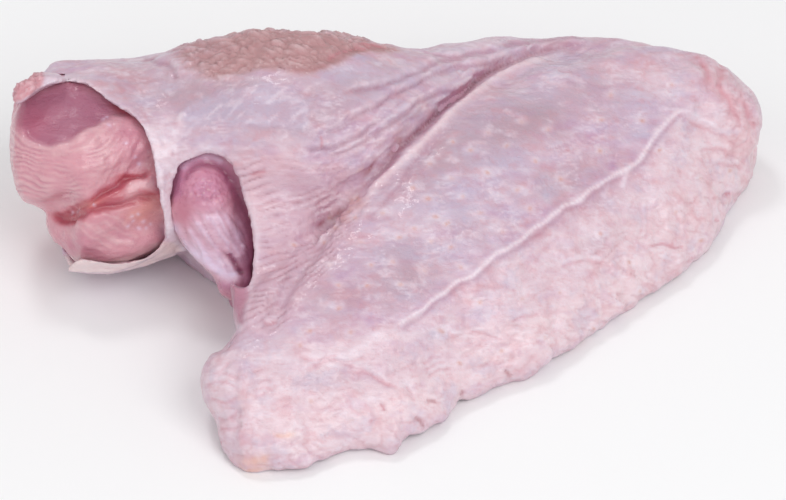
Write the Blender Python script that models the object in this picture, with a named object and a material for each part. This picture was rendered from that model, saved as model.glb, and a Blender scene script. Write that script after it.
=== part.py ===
"""Raw turkey wing of two joints, folded, lying on a table with its tip cut off.

The upper arm runs along the back from the shoulder cut at -X to the elbow at +X, and the
forearm comes forward from the elbow to the wrist at the front left. A web of skin fills the
fold between them. The skin is one body, open at the shoulder cut and at a torn window under
the web. The meat is a second body: it bulges out at the cut, shows in the window and runs on
through both arms to the wrist.

Model sizes are in millimetres, and MM turns them into Blender's metres. The origin is on the
table, under the middle of the finished wing.
"""

import math

import bmesh
import bpy
import numpy as np
from mathutils import Vector, noise

MM = 0.001

# Driving sizes.
SKIN_AT_SHOULDER = 3.2
SKIN_AT_ELBOW = 5.0
SKIN_ON_FOREARM = 5.0
GAP = 0.45
TABLE = 0.0

# Openings and surface lines are drawn as they look from the front, this far above the table:
# right and up in that view, and for an opening how far back its cut reaches.
LOOK_DOWN = math.radians(40)

SKIN_COLOUR = (0.69, 0.52, 0.59)
MEAT_COLOUR = (0.60, 0.31, 0.38)

# How fine the fused bodies are before and after thinning.
SKIN_VOXEL = 1.6
MEAT_VOXEL = 1.3
SKIN_FACES = 5600
MEAT_FACES = 2200

# Stations of a round body: x, y, height of the axis, half depth, half height.
UPPER_ARM = [
    (-93, 95, 28.6, 30, 26.2),
    (-80, 94, 28, 32.6, 27.6),
    (-60, 99.5, 27.5, 28, 26.3),
    (-40, 100.5, 30, 31, 30),
    (-26, 99.5, 31, 31, 31),
    (-12, 101, 29.5, 29.5, 30),
    (0, 105.5, 27, 26.5, 27),
    (12, 112.5, 24.2, 23.5, 24.2),
    (28, 124.5, 21.8, 21, 21.3),
    (44, 130, 20.2, 19.5, 19.2),
    (62, 130, 19.3, 18.5, 18.7),
    (84, 126.5, 18, 17.5, 17.5),
]
ELBOW = ((84.5, 126.5, 17), (20, 16.5, 17))
# The shoulder's cut leans back a little from the table: its x there and this far above it.
SHOULDER_CUT_LOW = -86
SHOULDER_CUT_HIGH = (-96, 60)

# Stations across the flat forearm, wrist to elbow: its front edge's x and y where the web
# joins, its trailing edge's x and y, its height, and how thinly it tapers to the trailing edge.
FOREARM = [
    (-46, 25, -43, 8, 17, 1),
    (-39.6, 34, -36, 0.5, 24, 1),
    (-36.5, 45, -23, 0.5, 29, 1),
    (-28, 55, -11, 7.5, 32, 1),
    (-18, 66, 4, 9.5, 35, 1),
    (-7, 77, 20, 26, 39, 1),
    (6, 92, 40, 39, 43, 1),
    (22, 110, 57, 55, 44, 1),
    (38, 124, 74, 72, 42, 1),
    (56, 134, 87, 88, 40, 0.9),
    (74, 139, 95.5, 106.5, 37, 0.7),
    (90, 138, 101.3, 121.5, 31.4, 0.5),
    (98.5, 136.5, 103.5, 128.5, 25, 0.5),
]
# The forearm's section, as shares of its width from the front edge and of its height.
FOREARM_SECTION = [
    (0.02, 0.03),
    (-0.02, 0.30),
    (-0.01, 0.62),
    (0.02, 0.86),
    (0.09, 0.98),
    (0.20, 1.00),
    (0.36, 0.93),
    (0.52, 0.80),
    (0.67, 0.64),
    (0.80, 0.47),
    (0.90, 0.32),
    (0.97, 0.20),
    (1.00, 0.10),
    (0.96, 0.00),
    (0.50, 0.00),
]

WRIST_KNOB = ((-39, 23.5, 12.5), (10.5, 12.5, 11))

# The web's two sides, from the free edge to the fold's inner corner, and its sag.
WEB_ON_UPPER_ARM = [(-43, 78, 46), (-24, 76, 45), (-4, 85, 44), (10, 96, 44), (26, 114, 42)]
WEB_ON_FOREARM = [(-39.5, 38, 24), (-31, 47, 27), (-21, 62, 31), (-7, 75, 37), (8, 91, 41)]
WEB_SAG = 2.5
WEB_UNDERSIDE = 5.0

# The skin that passes under the window to the wrist, seen from above.
UNDER_LAYER = [
    (-59, 92),
    (-56, 87),
    (-51.5, 82),
    (-47, 77),
    (-43, 70.5),
    (-39.5, 62.5),
    (-38.5, 50),
    (-39.5, 36),
    (-10, 40),
    (10, 80),
    (-30, 100),
]
UNDER_LAYER_THICKNESS = 5.0
FAT_KNOBS = [((-95.3, 91.5, 54.5), (4.6, 4.5, 4)), ((-91, 94.5, 55), (5.5, 6, 3))]

# Meat: lobes that bulge from the shoulder cut, the muscle in the window and a deeper one beside it.
UPPER_LOBE = [
    (-97, 93, 37, 16, 16),
    (-90, 93, 37, 19, 18),
    (-76, 94, 35, 20, 18),
    (-60, 98, 31, 18, 17),
]
LOWER_LOBE = [
    (-86.5, 84, 20.5, 9.5, 9),
    (-78, 82.5, 19.5, 15, 11),
    (-69, 84.2, 19.3, 14, 10.3),
    (-62, 89, 19, 11, 9),
]
MEAT_END = -87
WINDOW_MUSCLE = [
    (-50.2, 85.5, 36, 8.2, 9.5),
    (-49.8, 77, 31.5, 9.2, 11),
    (-47.5, 71, 25, 8, 9),
    (-44.5, 66, 18.5, 4.5, 5),
]
DEEP_MUSCLE = [
    (-43, 88, 34, 7.5, 9),
    (-41, 80, 27, 7.5, 9),
    (-40, 71, 19.5, 6.5, 8),
    (-40.5, 62, 13, 5, 5.5),
]
# The fold between the lobes and the hollow in the upper one, as seen from the front.
LOBE_FOLD = [(-95, 68), (-91.5, 69.5), (-80, 73.5), (-70.7, 78.7), (-63, 82.5)]
LOBE_HOLLOW = ((-87, 97), (13, 6))

# The forearm's meat, as shares of the forearm's width and height.
CORE_PLACE = 0.38
CORE_WIDTH = 0.27
CORE_HEIGHT = 0.44

MOUTH_DEPTH = 58
MOUTH = [
    (-112, 96, MOUTH_DEPTH),
    (-103, 96.5, MOUTH_DEPTH),
    (-96.5, 98.8, MOUTH_DEPTH),
    (-92, 102.6, MOUTH_DEPTH),
    (-83, 104.3, MOUTH_DEPTH),
    (-74, 98.8, 56),
    (-66, 93.5, 48),
    (-61.5, 82, 44),
    (-60, 71, 44),
    (-59.2, 62.5, 46),
    (-63, 58, 48),
    (-74, 55.6, 54),
    (-82.5, 56.6, MOUTH_DEPTH),
    (-86.5, 53, MOUTH_DEPTH),
    (-91, 47, MOUTH_DEPTH),
    (-112, 44, MOUTH_DEPTH),
]
WINDOW = [
    (-53.5, 82.4, 44),
    (-48, 85.3, 44),
    (-42.8, 83.9, 44),
    (-38.2, 75.1, 54),
    (-35.6, 66.4, 56),
    (-35, 57.9, 56),
    (-37.1, 49.1, 52),
    (-44.6, 52.1, 52),
    (-52.3, 58.3, 50),
    (-56.3, 64.5, 46),
    (-56.7, 73.1, 44),
]

# Lines on the skin.
CREASE = [
    (59, 115.6),
    (47, 114.3),
    (36, 112),
    (25, 105),
    (8.7, 92.4),
    (-3, 79.2),
    (-14.4, 70.4),
    (-17.8, 63.2),
    (-23, 55.3),
    (-30.4, 41.1),
]
TENDON = [(82, 97.6), (70, 87.5), (56, 76.2), (37.5, 63.5), (22, 53), (9.7, 45.3)]


def smooth_stations(stations, count):
    """The stations' numbers read at even steps along a smooth curve through them."""
    known = np.array(stations, float)
    steps = np.linalg.norm(np.diff(known[:, :2], axis=0), axis=1)
    along = np.concatenate([[0], np.cumsum(steps)])
    slopes = np.gradient(known, along, axis=0)
    wanted = np.linspace(0, along[-1], count)
    piece = np.clip(np.searchsorted(along, wanted, side="right") - 1, 0, len(along) - 2)
    span = (along[piece + 1] - along[piece])[:, None]
    t = ((wanted - along[piece]) / span[:, 0])[:, None]
    return (
        (2 * t**3 - 3 * t**2 + 1) * known[piece]
        + (t**3 - 2 * t**2 + t) * span * slopes[piece]
        + (3 * t**2 - 2 * t**3) * known[piece + 1]
        + (t**3 - t**2) * span * slopes[piece + 1]
    )


def mesh_object(name, points, faces):
    """A mesh object from points in millimetres, with its faces turned to point out."""
    mesh = bpy.data.meshes.new(name)
    mesh.from_pydata([Vector(p) * MM for p in points], [], faces)
    obj = bpy.data.objects.new(name, mesh)
    bpy.context.scene.collection.objects.link(obj)
    made = bmesh.new()
    made.from_mesh(mesh)
    bmesh.ops.recalc_face_normals(made, faces=made.faces)
    made.to_mesh(mesh)
    made.free()
    return obj


def tube(name, rings):
    """A closed body skinned over rings of equally many points, with flat ends."""
    sides = len(rings[0])
    points = [point for ring in rings for point in ring]
    faces = []
    for row in range(len(rings) - 1):
        for k in range(sides):
            a = row * sides + k
            b = row * sides + (k + 1) % sides
            faces.append((a, b, b + sides, a + sides))
    last = (len(rings) - 1) * sides
    faces.append(tuple(range(sides)))
    faces.append(tuple(range(last, last + sides)))
    return mesh_object(name, points, faces)


def round_body(name, stations, rows=48, sides=36, cap=0.8):
    """A closed body with oval sections along its stations and domed ends."""
    path = smooth_stations(stations, rows)
    heading = np.gradient(path[:, :3], axis=0)
    heading /= np.linalg.norm(heading, axis=1)[:, None]
    dome = np.radians([75, 55, 35, 15])
    sections = [(path[0], heading[0], math.cos(a), -math.sin(a) * cap) for a in dome]
    sections += [(path[i], heading[i], 1.0, 0.0) for i in range(rows)]
    sections += [(path[-1], heading[-1], math.cos(a), math.sin(a) * cap) for a in dome[::-1]]
    turns = np.linspace(0, 2 * math.pi, sides, endpoint=False)
    rings = []
    for station, ahead, shrink, reach in sections:
        centre = station[:3] + ahead * reach * station[3:5].mean()
        side = np.cross(ahead, (0, 0, 1))
        side /= np.linalg.norm(side)
        up = np.cross(side, ahead)
        across = np.outer(np.cos(turns), side) * station[3] * shrink
        upright = np.outer(np.sin(turns), up) * station[4] * shrink
        rings.append(centre + across + upright)
    return tube(name, rings)


def flat_body(name, rows=60):
    """The forearm: its section swept from wrist to elbow between its two edges."""
    rings = []
    for front_x, front_y, back_x, back_y, height, taper in smooth_stations(FOREARM, rows):
        front = np.array((front_x, front_y))
        across = np.array((back_x, back_y)) - front
        rings.append([
            (*(front + across * share), height * rise**taper) for share, rise in FOREARM_SECTION
        ])
    return tube(name, rings)


def ball(name, centre, half_sizes):
    """An oval ball."""
    made = bmesh.new()
    bmesh.ops.create_uvsphere(made, u_segments=20, v_segments=12, radius=1)
    points = [np.array(centre) + np.array(v.co) * np.array(half_sizes) for v in made.verts]
    faces = [[v.index for v in f.verts] for f in made.faces]
    made.free()
    return mesh_object(name, points, faces)


def web_body(name, rows=30, columns=14):
    """The skin web between the arms, from its sagging top down to the underside."""
    far = smooth_stations(WEB_ON_UPPER_ARM, rows)
    near = smooth_stations(WEB_ON_FOREARM, rows)
    rings = []
    for row in range(rows):
        shares = np.linspace(0, 1, columns)[:, None]
        top = far[row] * (1 - shares) + near[row] * shares
        top[:, 2] -= WEB_SAG * np.sin(math.pi * shares[:, 0])
        bottom = top[::-1].copy()
        bottom[:, 2] = WEB_UNDERSIDE
        rings.append(np.concatenate([top, bottom]))
    return tube(name, rings)


def slab(name, outline, low, high):
    """A flat slab with this plan outline."""
    return tube(name, [[(x, y, z) for x, y in outline] for z in (low, high)])


def from_front(right, up, back):
    """The point seen this far right and up from the front, and this far behind."""
    return np.array([
        right,
        up * math.sin(LOOK_DOWN) + back * math.cos(LOOK_DOWN),
        up * math.cos(LOOK_DOWN) - back * math.sin(LOOK_DOWN),
    ])


def opening(name, outline, front=-30, count=48):
    """A cutter with this rounded outline as seen from the front, as deep as each point says."""
    rounded = smooth_stations(outline + outline[:1], count)[:-1]
    near = [from_front(right, up, front) for right, up, _ in rounded]
    far = [from_front(*corner) for corner in rounded]
    return tube(name, [near, far])


def apply_modifiers(obj):
    """Puts the evaluated mesh in the place of the object's own, and drops its modifiers."""
    graph = bpy.context.evaluated_depsgraph_get()
    mesh = bpy.data.meshes.new_from_object(obj.evaluated_get(graph))
    obj.modifiers.clear()
    obj.data = mesh


def fused(name, bodies, voxel, smoothing):
    """The bodies melted into one closed body and softened where they meet."""
    made = bmesh.new()
    for body in bodies:
        made.from_mesh(body.data)
        bpy.data.objects.remove(body)
    mesh = bpy.data.meshes.new(name)
    made.to_mesh(mesh)
    made.free()
    obj = bpy.data.objects.new(name, mesh)
    bpy.context.scene.collection.objects.link(obj)
    remesh = obj.modifiers.new("melt", "REMESH")
    remesh.mode = "VOXEL"
    remesh.voxel_size = voxel * MM
    soften = obj.modifiers.new("soften", "SMOOTH")
    soften.factor = 0.5
    soften.iterations = smoothing
    apply_modifiers(obj)
    return obj


def points_of(obj):
    """The object's points in millimetres."""
    flat = np.empty(len(obj.data.vertices) * 3, np.float32)
    obj.data.vertices.foreach_get("co", flat)
    return flat.reshape(-1, 3).astype(float) / MM


def set_points(obj, points):
    obj.data.vertices.foreach_set("co", (points * MM).astype(np.float32).ravel())
    obj.data.update()


def normals_of(obj):
    flat = np.empty(len(obj.data.vertices) * 3, np.float32)
    obj.data.vertices.foreach_get("normal", flat)
    return flat.reshape(-1, 3).astype(float)


def thinned(obj, faces):
    """Leaves the object with about this many triangles, most of them where it bends."""
    obj.data.calc_loop_triangles()
    thin = obj.modifiers.new("thin", "DECIMATE")
    thin.ratio = faces / len(obj.data.loop_triangles)
    apply_modifiers(obj)


def keep_above(obj, height):
    """Presses what hangs below this height flat onto it."""
    points = points_of(obj)
    points[:, 2] = np.maximum(points[:, 2], height)
    set_points(obj, points)


def combine(obj, others, operation="DIFFERENCE"):
    """Takes the other bodies out of the object, or joins them on."""
    for other in others:
        step = obj.modifiers.new("combine", "BOOLEAN")
        step.operation = operation
        step.solver = "EXACT"
        step.object = other
        apply_modifiers(obj)
        bpy.data.objects.remove(other)


def drop_scraps(obj):
    """Keeps the largest piece and drops the slivers that the cuts left beside it."""
    made = bmesh.new()
    made.from_mesh(obj.data)
    unseen = set(made.verts)
    islands = []
    while unseen:
        reached = [unseen.pop()]
        for vertex in reached:
            beside = {edge.other_vert(vertex) for edge in vertex.link_edges} & unseen
            unseen -= beside
            reached.extend(beside)
        islands.append(reached)
    islands.sort(key=len)
    scraps = [vertex for island in islands[:-1] for vertex in island]
    bmesh.ops.delete(made, geom=scraps, context="VERTS")
    made.to_mesh(obj.data)
    made.free()


def swollen(obj, name, by):
    """A copy of the object grown by this much all over."""
    copy = bpy.data.objects.new(name, obj.data.copy())
    bpy.context.scene.collection.objects.link(copy)
    set_points(copy, points_of(obj) + normals_of(obj) * by)
    return copy


def upper_arm_core():
    """The upper arm's stations with the skin taken off, which thickens toward the elbow."""
    inner = [(MEAT_END, *UPPER_ARM[1][1:])] + UPPER_ARM[2:]
    skins = np.linspace(SKIN_AT_SHOULDER, SKIN_AT_ELBOW, len(inner))
    return [(x, y, z, a - skin, b - skin) for (x, y, z, a, b), skin in zip(inner, skins)]


def forearm_core():
    """Stations of the forearm's meat, kept under the skin all round."""
    stations = []
    for front_x, front_y, back_x, back_y, height, _ in FOREARM[2:-2]:
        front = np.array((front_x, front_y))
        across = np.array((back_x, back_y)) - front
        x, y = front + across * CORE_PLACE
        half_width = np.linalg.norm(across) * CORE_WIDTH
        middle = height * CORE_HEIGHT
        stations.append((x, y, middle, half_width, middle - SKIN_ON_FOREARM))
    return stations


def shoulder_cutter():
    """Takes off what reaches past the shoulder's leaning cut."""
    high_x, high = SHOULDER_CUT_HIGH
    lean = (high_x - SHOULDER_CUT_LOW) / high
    low, top, outside = -10, 80, -130
    corners = [
        (outside, low),
        (SHOULDER_CUT_LOW + low * lean, low),
        (SHOULDER_CUT_LOW + top * lean, top),
        (outside, top),
    ]
    return tube("shoulder_cut", [[(x, y, z) for x, z in corners] for y in (40, 160)])


def distance_to_line(spots, line, samples=120):
    """How far each spot of the front view is from a smooth line in it."""
    track = smooth_stations(line, samples)
    gaps = np.linalg.norm(spots[:, None, :] - track[None, :, :], axis=2)
    return gaps.min(axis=1)


def front_view(obj):
    """The object's points, normals, places in the front view and how far they face it."""
    points = points_of(obj)
    normals = normals_of(obj)
    upward = np.array([0, math.sin(LOOK_DOWN), math.cos(LOOK_DOWN)])
    spots = np.stack([points[:, 0], points @ upward], axis=1)
    facing = np.clip(normals @ from_front(0, 0, -1) * 2.5, 0, 1)
    return points, normals, spots, facing


def shape_lobes(meat):
    """Presses in the fold between the lobes and the upper lobe's hollow."""
    points, normals, spots, facing = front_view(meat)
    centre, half = np.array(LOBE_HOLLOW)
    relief = -3.2 * np.exp(-((distance_to_line(spots, LOBE_FOLD) / 2.8) ** 2))
    relief -= 3.5 * np.exp(-(((spots - centre) / half) ** 2).sum(axis=1))
    set_points(meat, points + normals * (relief * facing)[:, None])


def add_relief(skin):
    """Presses in the creases, raises the tendon and makes the surface as uneven as skin."""
    points, normals, spots, facing = front_view(skin)
    relief = -2.0 * np.exp(-((distance_to_line(spots, CREASE) / 2.6) ** 2))
    relief += 1.1 * np.exp(-((distance_to_line(spots, TENDON) / 2.4) ** 2))
    uneven = np.array([noise.noise(Vector(p) / 14) for p in points])
    finer = np.array([noise.noise(Vector(p) / 6) for p in points])
    points += normals * (relief * facing + 1.1 * uneven + 0.35 * finer)[:, None]
    set_points(skin, points)


def make_meat():
    bodies = [
        round_body("upper_core", upper_arm_core(), cap=0.1),
        round_body("forearm_core", forearm_core()),
        round_body("upper_lobe", UPPER_LOBE, rows=20, sides=28, cap=0.25),
        round_body("lower_lobe", LOWER_LOBE, rows=20, sides=28, cap=0.5),
        round_body("window_muscle", WINDOW_MUSCLE, rows=16, sides=24),
        round_body("deep_muscle", DEEP_MUSCLE, rows=16, sides=24),
    ]
    meat = fused("meat", bodies, MEAT_VOXEL, 3)
    shape_lobes(meat)
    thinned(meat, MEAT_FACES)
    keep_above(meat, TABLE + SKIN_AT_SHOULDER)
    return meat


def make_skin(meat):
    bodies = [
        round_body("upper_arm", UPPER_ARM, cap=0.15),
        flat_body("forearm"),
        ball("elbow", *ELBOW),
        ball("wrist_knob", *WRIST_KNOB),
        web_body("web"),
        slab("under_layer", UNDER_LAYER, TABLE - 1, UNDER_LAYER_THICKNESS),
    ]
    skin = fused("skin", bodies, SKIN_VOXEL, 4)
    add_relief(skin)
    thinned(skin, SKIN_FACES)
    keep_above(skin, TABLE)
    combine(skin, [shoulder_cutter()])
    combine(skin, [ball("fat_knob", *knob) for knob in FAT_KNOBS], "UNION")
    combine(skin, [swollen(meat, "pocket", GAP), opening("mouth", MOUTH), opening("window", WINDOW)])
    drop_scraps(skin)
    return skin


def material(name, colour, roughness):
    made = bpy.data.materials.new(name)
    made.use_nodes = True
    shader = made.node_tree.nodes["Principled BSDF"]
    shader.inputs["Base Color"].default_value = (*colour, 1)
    shader.inputs["Roughness"].default_value = roughness
    shader.inputs["Metallic"].default_value = 0
    return made


def finish(obj, look):
    obj.data.materials.clear()
    obj.data.materials.append(look)
    obj.data.shade_smooth()


def centre_on_table(pieces):
    """Hangs the pieces on an empty that puts the origin under their middle, on the table."""
    points = np.concatenate([points_of(piece) for piece in pieces])
    middle = (points.min(axis=0) + points.max(axis=0)) / 2
    middle[2] = TABLE
    wing = bpy.data.objects.new("wing", None)
    bpy.context.scene.collection.objects.link(wing)
    wing.location = Vector(-middle) * MM
    for piece in pieces:
        piece.parent = wing


def main():
    for obj in list(bpy.data.objects):
        bpy.data.objects.remove(obj)
    meat = make_meat()
    skin = make_skin(meat)
    finish(skin, material("raw_skin", SKIN_COLOUR, 0.42))
    finish(meat, material("raw_meat", MEAT_COLOUR, 0.32))
    centre_on_table([skin, meat])


main()
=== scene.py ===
"""Raw turkey wing of two joints, lying on a table: the skin and the meat in full detail.

Each piece starts as a fine copy of the solid that it stands for. Folds, wrinkles, pores and
muscle fibres are then raised or pressed into its mesh, and its colours are painted on its
points. Lines and spots that were read from the photograph are given as places in its frame,
786 pixels wide and 500 high, and land on the surface that shows there. Other sizes are in
millimetres, and MM turns them into Blender's metres.
"""

import math

import bpy
import numpy as np
from bpy.props import FloatProperty, FloatVectorProperty, PointerProperty
from bpy.types import Operator, Panel, PropertyGroup
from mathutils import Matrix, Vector, noise
from mathutils.bvhtree import BVHTree


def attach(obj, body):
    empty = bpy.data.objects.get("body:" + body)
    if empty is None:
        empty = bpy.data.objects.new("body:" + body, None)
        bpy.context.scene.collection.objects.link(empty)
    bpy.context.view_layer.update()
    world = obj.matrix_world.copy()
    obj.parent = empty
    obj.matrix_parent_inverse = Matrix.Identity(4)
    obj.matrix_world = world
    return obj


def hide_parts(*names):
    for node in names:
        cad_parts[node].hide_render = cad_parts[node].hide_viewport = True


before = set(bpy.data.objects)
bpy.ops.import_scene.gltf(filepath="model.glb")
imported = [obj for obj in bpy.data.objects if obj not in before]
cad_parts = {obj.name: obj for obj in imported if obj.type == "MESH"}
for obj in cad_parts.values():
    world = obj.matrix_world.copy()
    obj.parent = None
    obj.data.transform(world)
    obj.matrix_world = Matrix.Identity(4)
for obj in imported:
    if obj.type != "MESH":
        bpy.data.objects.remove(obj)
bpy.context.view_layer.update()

bl_info = {
    "name": "Raw Turkey Wing",
    "version": (1, 0, 0),
    "blender": (4, 5, 0),
    "location": "3D View > Sidebar > Turkey Wing",
    "description": "Builds a raw turkey wing with detailed skin and meat, and its table and light",
    "category": "Mesh",
}

MM = 0.001

# The camera: what it looks at, how far away it is, how steeply it looks down, and its view.
AIM = np.array((0.10, -10.31, 23.18))
CAMERA_DISTANCE = 1400
LOOK_DOWN = math.radians(40)
PICTURE = (786, 500)
PIXELS_PER_MM = 3.75
FORWARD = np.array((0, math.cos(LOOK_DOWN), -math.sin(LOOK_DOWN)))
RIGHT = np.array((1, 0, 0))
UP = np.array((0, math.sin(LOOK_DOWN), math.cos(LOOK_DOWN)))
CAMERA_PLACE = AIM - FORWARD * CAMERA_DISTANCE
SENSOR_WIDTH = 36
CLIP = (0.05, 20)
# Each light's name, place, width, and share of the main light's power.
LIGHTS = [
    ("key_light", (0.6, -0.8, 1.05), 0.9, 1.0),
    ("fill_light", (-1.0, -0.7, 0.9), 1.2, 0.4),
    ("glint_light", (-0.25, 0.4, 1.1), 0.22, 0.24),
]

# Lines and outlines on the skin, as places in the photograph.
CREASE = [
    (603, 46), (564, 47), (539, 53), (512, 63), (483, 76), (464, 92), (446, 105), (424, 126),
    (401, 147), (386, 166), (368, 182), (352, 196), (338, 212),
]
CREASE_TAIL = [(338, 212), (322, 238), (304, 262), (287, 288), (271, 319)]
FOREARM_ROLL = [
    (560, 55), (520, 64), (482, 86), (457, 106), (435, 129), (415, 149), (391, 171), (373, 188),
    (362, 208),
]
SECOND_FOLD = [(433, 141), (415, 162), (402, 184), (384, 204), (368, 219)]
ARM_FOLDS = [
    [(600, 42), (550, 46), (510, 58), (480, 66), (457, 68), (435, 74), (413, 87), (390, 98), (368, 111),
     (346, 124), (325, 134)],
    [(470, 58), (440, 62), (410, 76), (380, 86), (345, 92)],
    [(455, 90), (428, 98), (400, 118), (372, 138), (350, 150), (326, 156)],
    [(500, 50), (460, 55), (430, 56)],
    [(380, 122), (352, 140), (330, 147), (305, 150)],
    [(590, 36), (540, 41), (500, 45)],
    [(140, 60), (158, 61), (171, 68), (177, 80)],
]
TENDON = [
    (689, 110), (672, 115), (660, 127), (649, 144), (638, 159), (618, 174), (596, 186), (584, 195),
    (565, 207), (544, 222), (529, 233), (512, 245), (491, 258), (470, 275), (452, 285), (436, 298),
    (417, 314), (392, 328),
]
TENDON_TAIL = [(392, 328), (366, 344), (345, 354), (322, 361), (300, 368)]
TENDON_BRANCHES = [[(689, 110), (704, 121), (719, 127)], [(630, 166), (627, 176), (622, 188)]]
ELBOW_FOLDS = [
    [(719, 60), (720, 74), (721, 88), (729, 104), (742, 130)],
    [(693, 56), (704, 68), (712, 84)],
    [(735, 100), (748, 112), (755, 128)],
]
WINDOW_RIM = [
    (178, 172), (186, 160), (195, 155), (207, 153), (221, 159), (231, 172), (237, 188), (244, 213),
    (251, 233), (255, 243), (254, 260), (249, 282), (244, 304), (238, 326),
]
MOUTH_RIM = [
    (18, 101), (28, 95), (39, 89), (55, 83), (71, 83), (85, 88), (93, 93), (105, 102), (117, 110),
    (129, 117), (141, 128), (145, 140), (150, 156), (158, 170), (165, 184), (163, 206), (167, 220),
    (168, 234), (175, 244), (181, 250),
]
TAN_PATCH = [
    (172, 20), (173, 52), (180, 60), (198, 69), (213, 73), (235, 73), (264, 66), (282, 68), (304, 72),
    (322, 66), (340, 57), (357, 51), (375, 48), (396, 49), (396, 10),
]
TAN_PATCH_HEM = [(392, 48), (375, 47.5), (357, 50.5), (339, 57), (322, 65), (304, 71), (282, 68)]
TAN_PATCH_WAVES = [
    [(205, 74), (222, 62), (240, 55), (262, 50)],
    [(215, 68), (232, 68), (252, 58), (275, 55)],
    [(190, 62), (206, 54), (228, 47), (250, 40)],
    [(198, 69), (216, 58), (234, 52), (255, 44), (280, 42)],
    [(238, 71), (256, 62), (275, 62), (292, 68)],
    [(270, 50), (290, 55), (306, 52), (330, 48)],
    [(262, 42), (285, 44), (310, 41), (345, 42)],
    [(300, 62), (318, 58), (336, 50), (360, 44)],
    [(225, 36), (245, 40), (262, 36), (288, 34)],
    [(184, 52), (200, 46), (214, 40)],
]
FASCIA_PATCH = [
    (181, 116), (192, 103), (215, 94), (246, 88), (286, 86), (304, 97), (311, 113), (306, 127),
    (288, 130), (262, 128), (240, 127), (212, 130), (186, 128),
]
WEB_AREA = [
    (232, 347), (241, 306), (252, 272), (256, 238), (243, 190), (232, 166), (262, 158), (310, 158),
    (345, 168), (366, 190), (352, 224), (334, 262), (312, 300), (280, 330),
]
# The web's wrinkles fan out from its free edge: height there, slope and bend of each line.
FAN_EDGE = 250
FAN_LINES = [
    (160, 0.12, -0.0006), (192, 0.18, -0.0005), (225, 0.17, 0.0013), (250, 0.15, 0.002),
    (280, 0.22, 0.0028), (308, 0.25, 0.0035), (331, 0.5, 0.0018), (360, 0.55, 0.001),
]
FAN_SPACING = 7.6
# Where the web turns pebbly, from left to right.
PEBBLY_WEB = (275, 330)
# How wide the rims of the mouth and the window are, where their spikes are drawn in.
RIM_WIDTH = 1.2

CREASE_HOLLOWS = [
    (395, 147, 12, 2.4, -58), (370, 170, 11, 3.0, -50), (336, 216, 9, 4, -42), (322, 224, 8, 3.5, -50),
]
NOTCHES = [
    [(414, 417), (425, 427)],
    [(428, 401), (437, 401)],
    [(459, 395), (463, 390)],
    [(347, 453), (358, 451)],
    [(505, 372), (510, 379)],
]
WRIST_FOLDS = [
    [(214, 377), (224, 372), (238, 376)],
    [(206, 386), (222, 380), (236, 386)],
    [(212, 398), (224, 402), (238, 396)],
    [(216, 416), (228, 418), (240, 410)],
    [(220, 428), (232, 430), (240, 424)],
    [(228, 360), (222, 368), (212, 372)],
    [(256, 383), (263, 381), (271, 383)],
    [(254, 389), (264, 387), (273, 390)],
    [(256, 395), (266, 392)],
    [(262, 322), (268, 325), (277, 321)],
]
WRIST_RIDGE = [(243, 366), (243, 386), (246, 404), (245, 420), (242, 440), (238, 456)]
PLEATS = [
    [(313, 368), (330, 362), (348, 363), (366, 359)],
    [(300, 358), (318, 361), (336, 356)],
    [(352, 372), (372, 376), (392, 386)],
    [(340, 366), (360, 370), (380, 381), (397, 387)],
    [(366, 402), (372, 412), (371, 424)],
    [(346, 396), (352, 406), (362, 416)],
    [(421, 364), (430, 358), (442, 356)],
    [(424, 370), (434, 363), (447, 361)],
    [(428, 376), (438, 369), (452, 367)],
    [(405, 384), (412, 392), (414, 400)],
    [(640, 200), (642, 215), (640, 236)],
    [(646, 206), (648, 220), (646, 240)],
    [(700, 148), (712, 150), (728, 151)],
    [(716, 164), (728, 166), (742, 166)],
    [(722, 194), (732, 195), (742, 193)],
    [(686, 120), (700, 126), (716, 133), (730, 140)],
    [(512, 320), (524, 316), (540, 314)],
    [(470, 330), (486, 332), (504, 340)],
    [(560, 268), (580, 262), (604, 262)],
]

PORES = [
    (488, 131), (506, 146), (487, 172), (451, 140), (451, 178), (429, 163), (413, 188), (427, 197),
    (461, 195), (382, 211), (434, 215), (398, 238), (413, 228), (430, 238), (371, 264), (368, 285),
    (337, 284), (328, 265), (324, 242), (294, 244), (397, 284), (425, 270), (459, 265), (337, 308),
    (450, 245), (480, 212), (515, 190), (536, 160), (560, 178), (545, 128), (520, 120), (600, 120),
    (640, 120), (470, 150), (500, 232), (530, 206), (357, 197), (355, 215), (360, 240), (392, 262),
    (446, 222), (600, 148), (700, 178), (676, 210), (600, 232), (628, 262), (560, 292), (520, 300),
    (590, 330), (480, 300), (440, 330), (400, 350), (350, 330), (310, 330), (300, 345), (350, 420),
    (310, 400), (460, 360), (500, 350), (545, 335), (640, 290), (700, 240), (728, 170), (610, 96),
    (670, 84), (660, 150), (330, 218), (336, 226),
]
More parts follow.
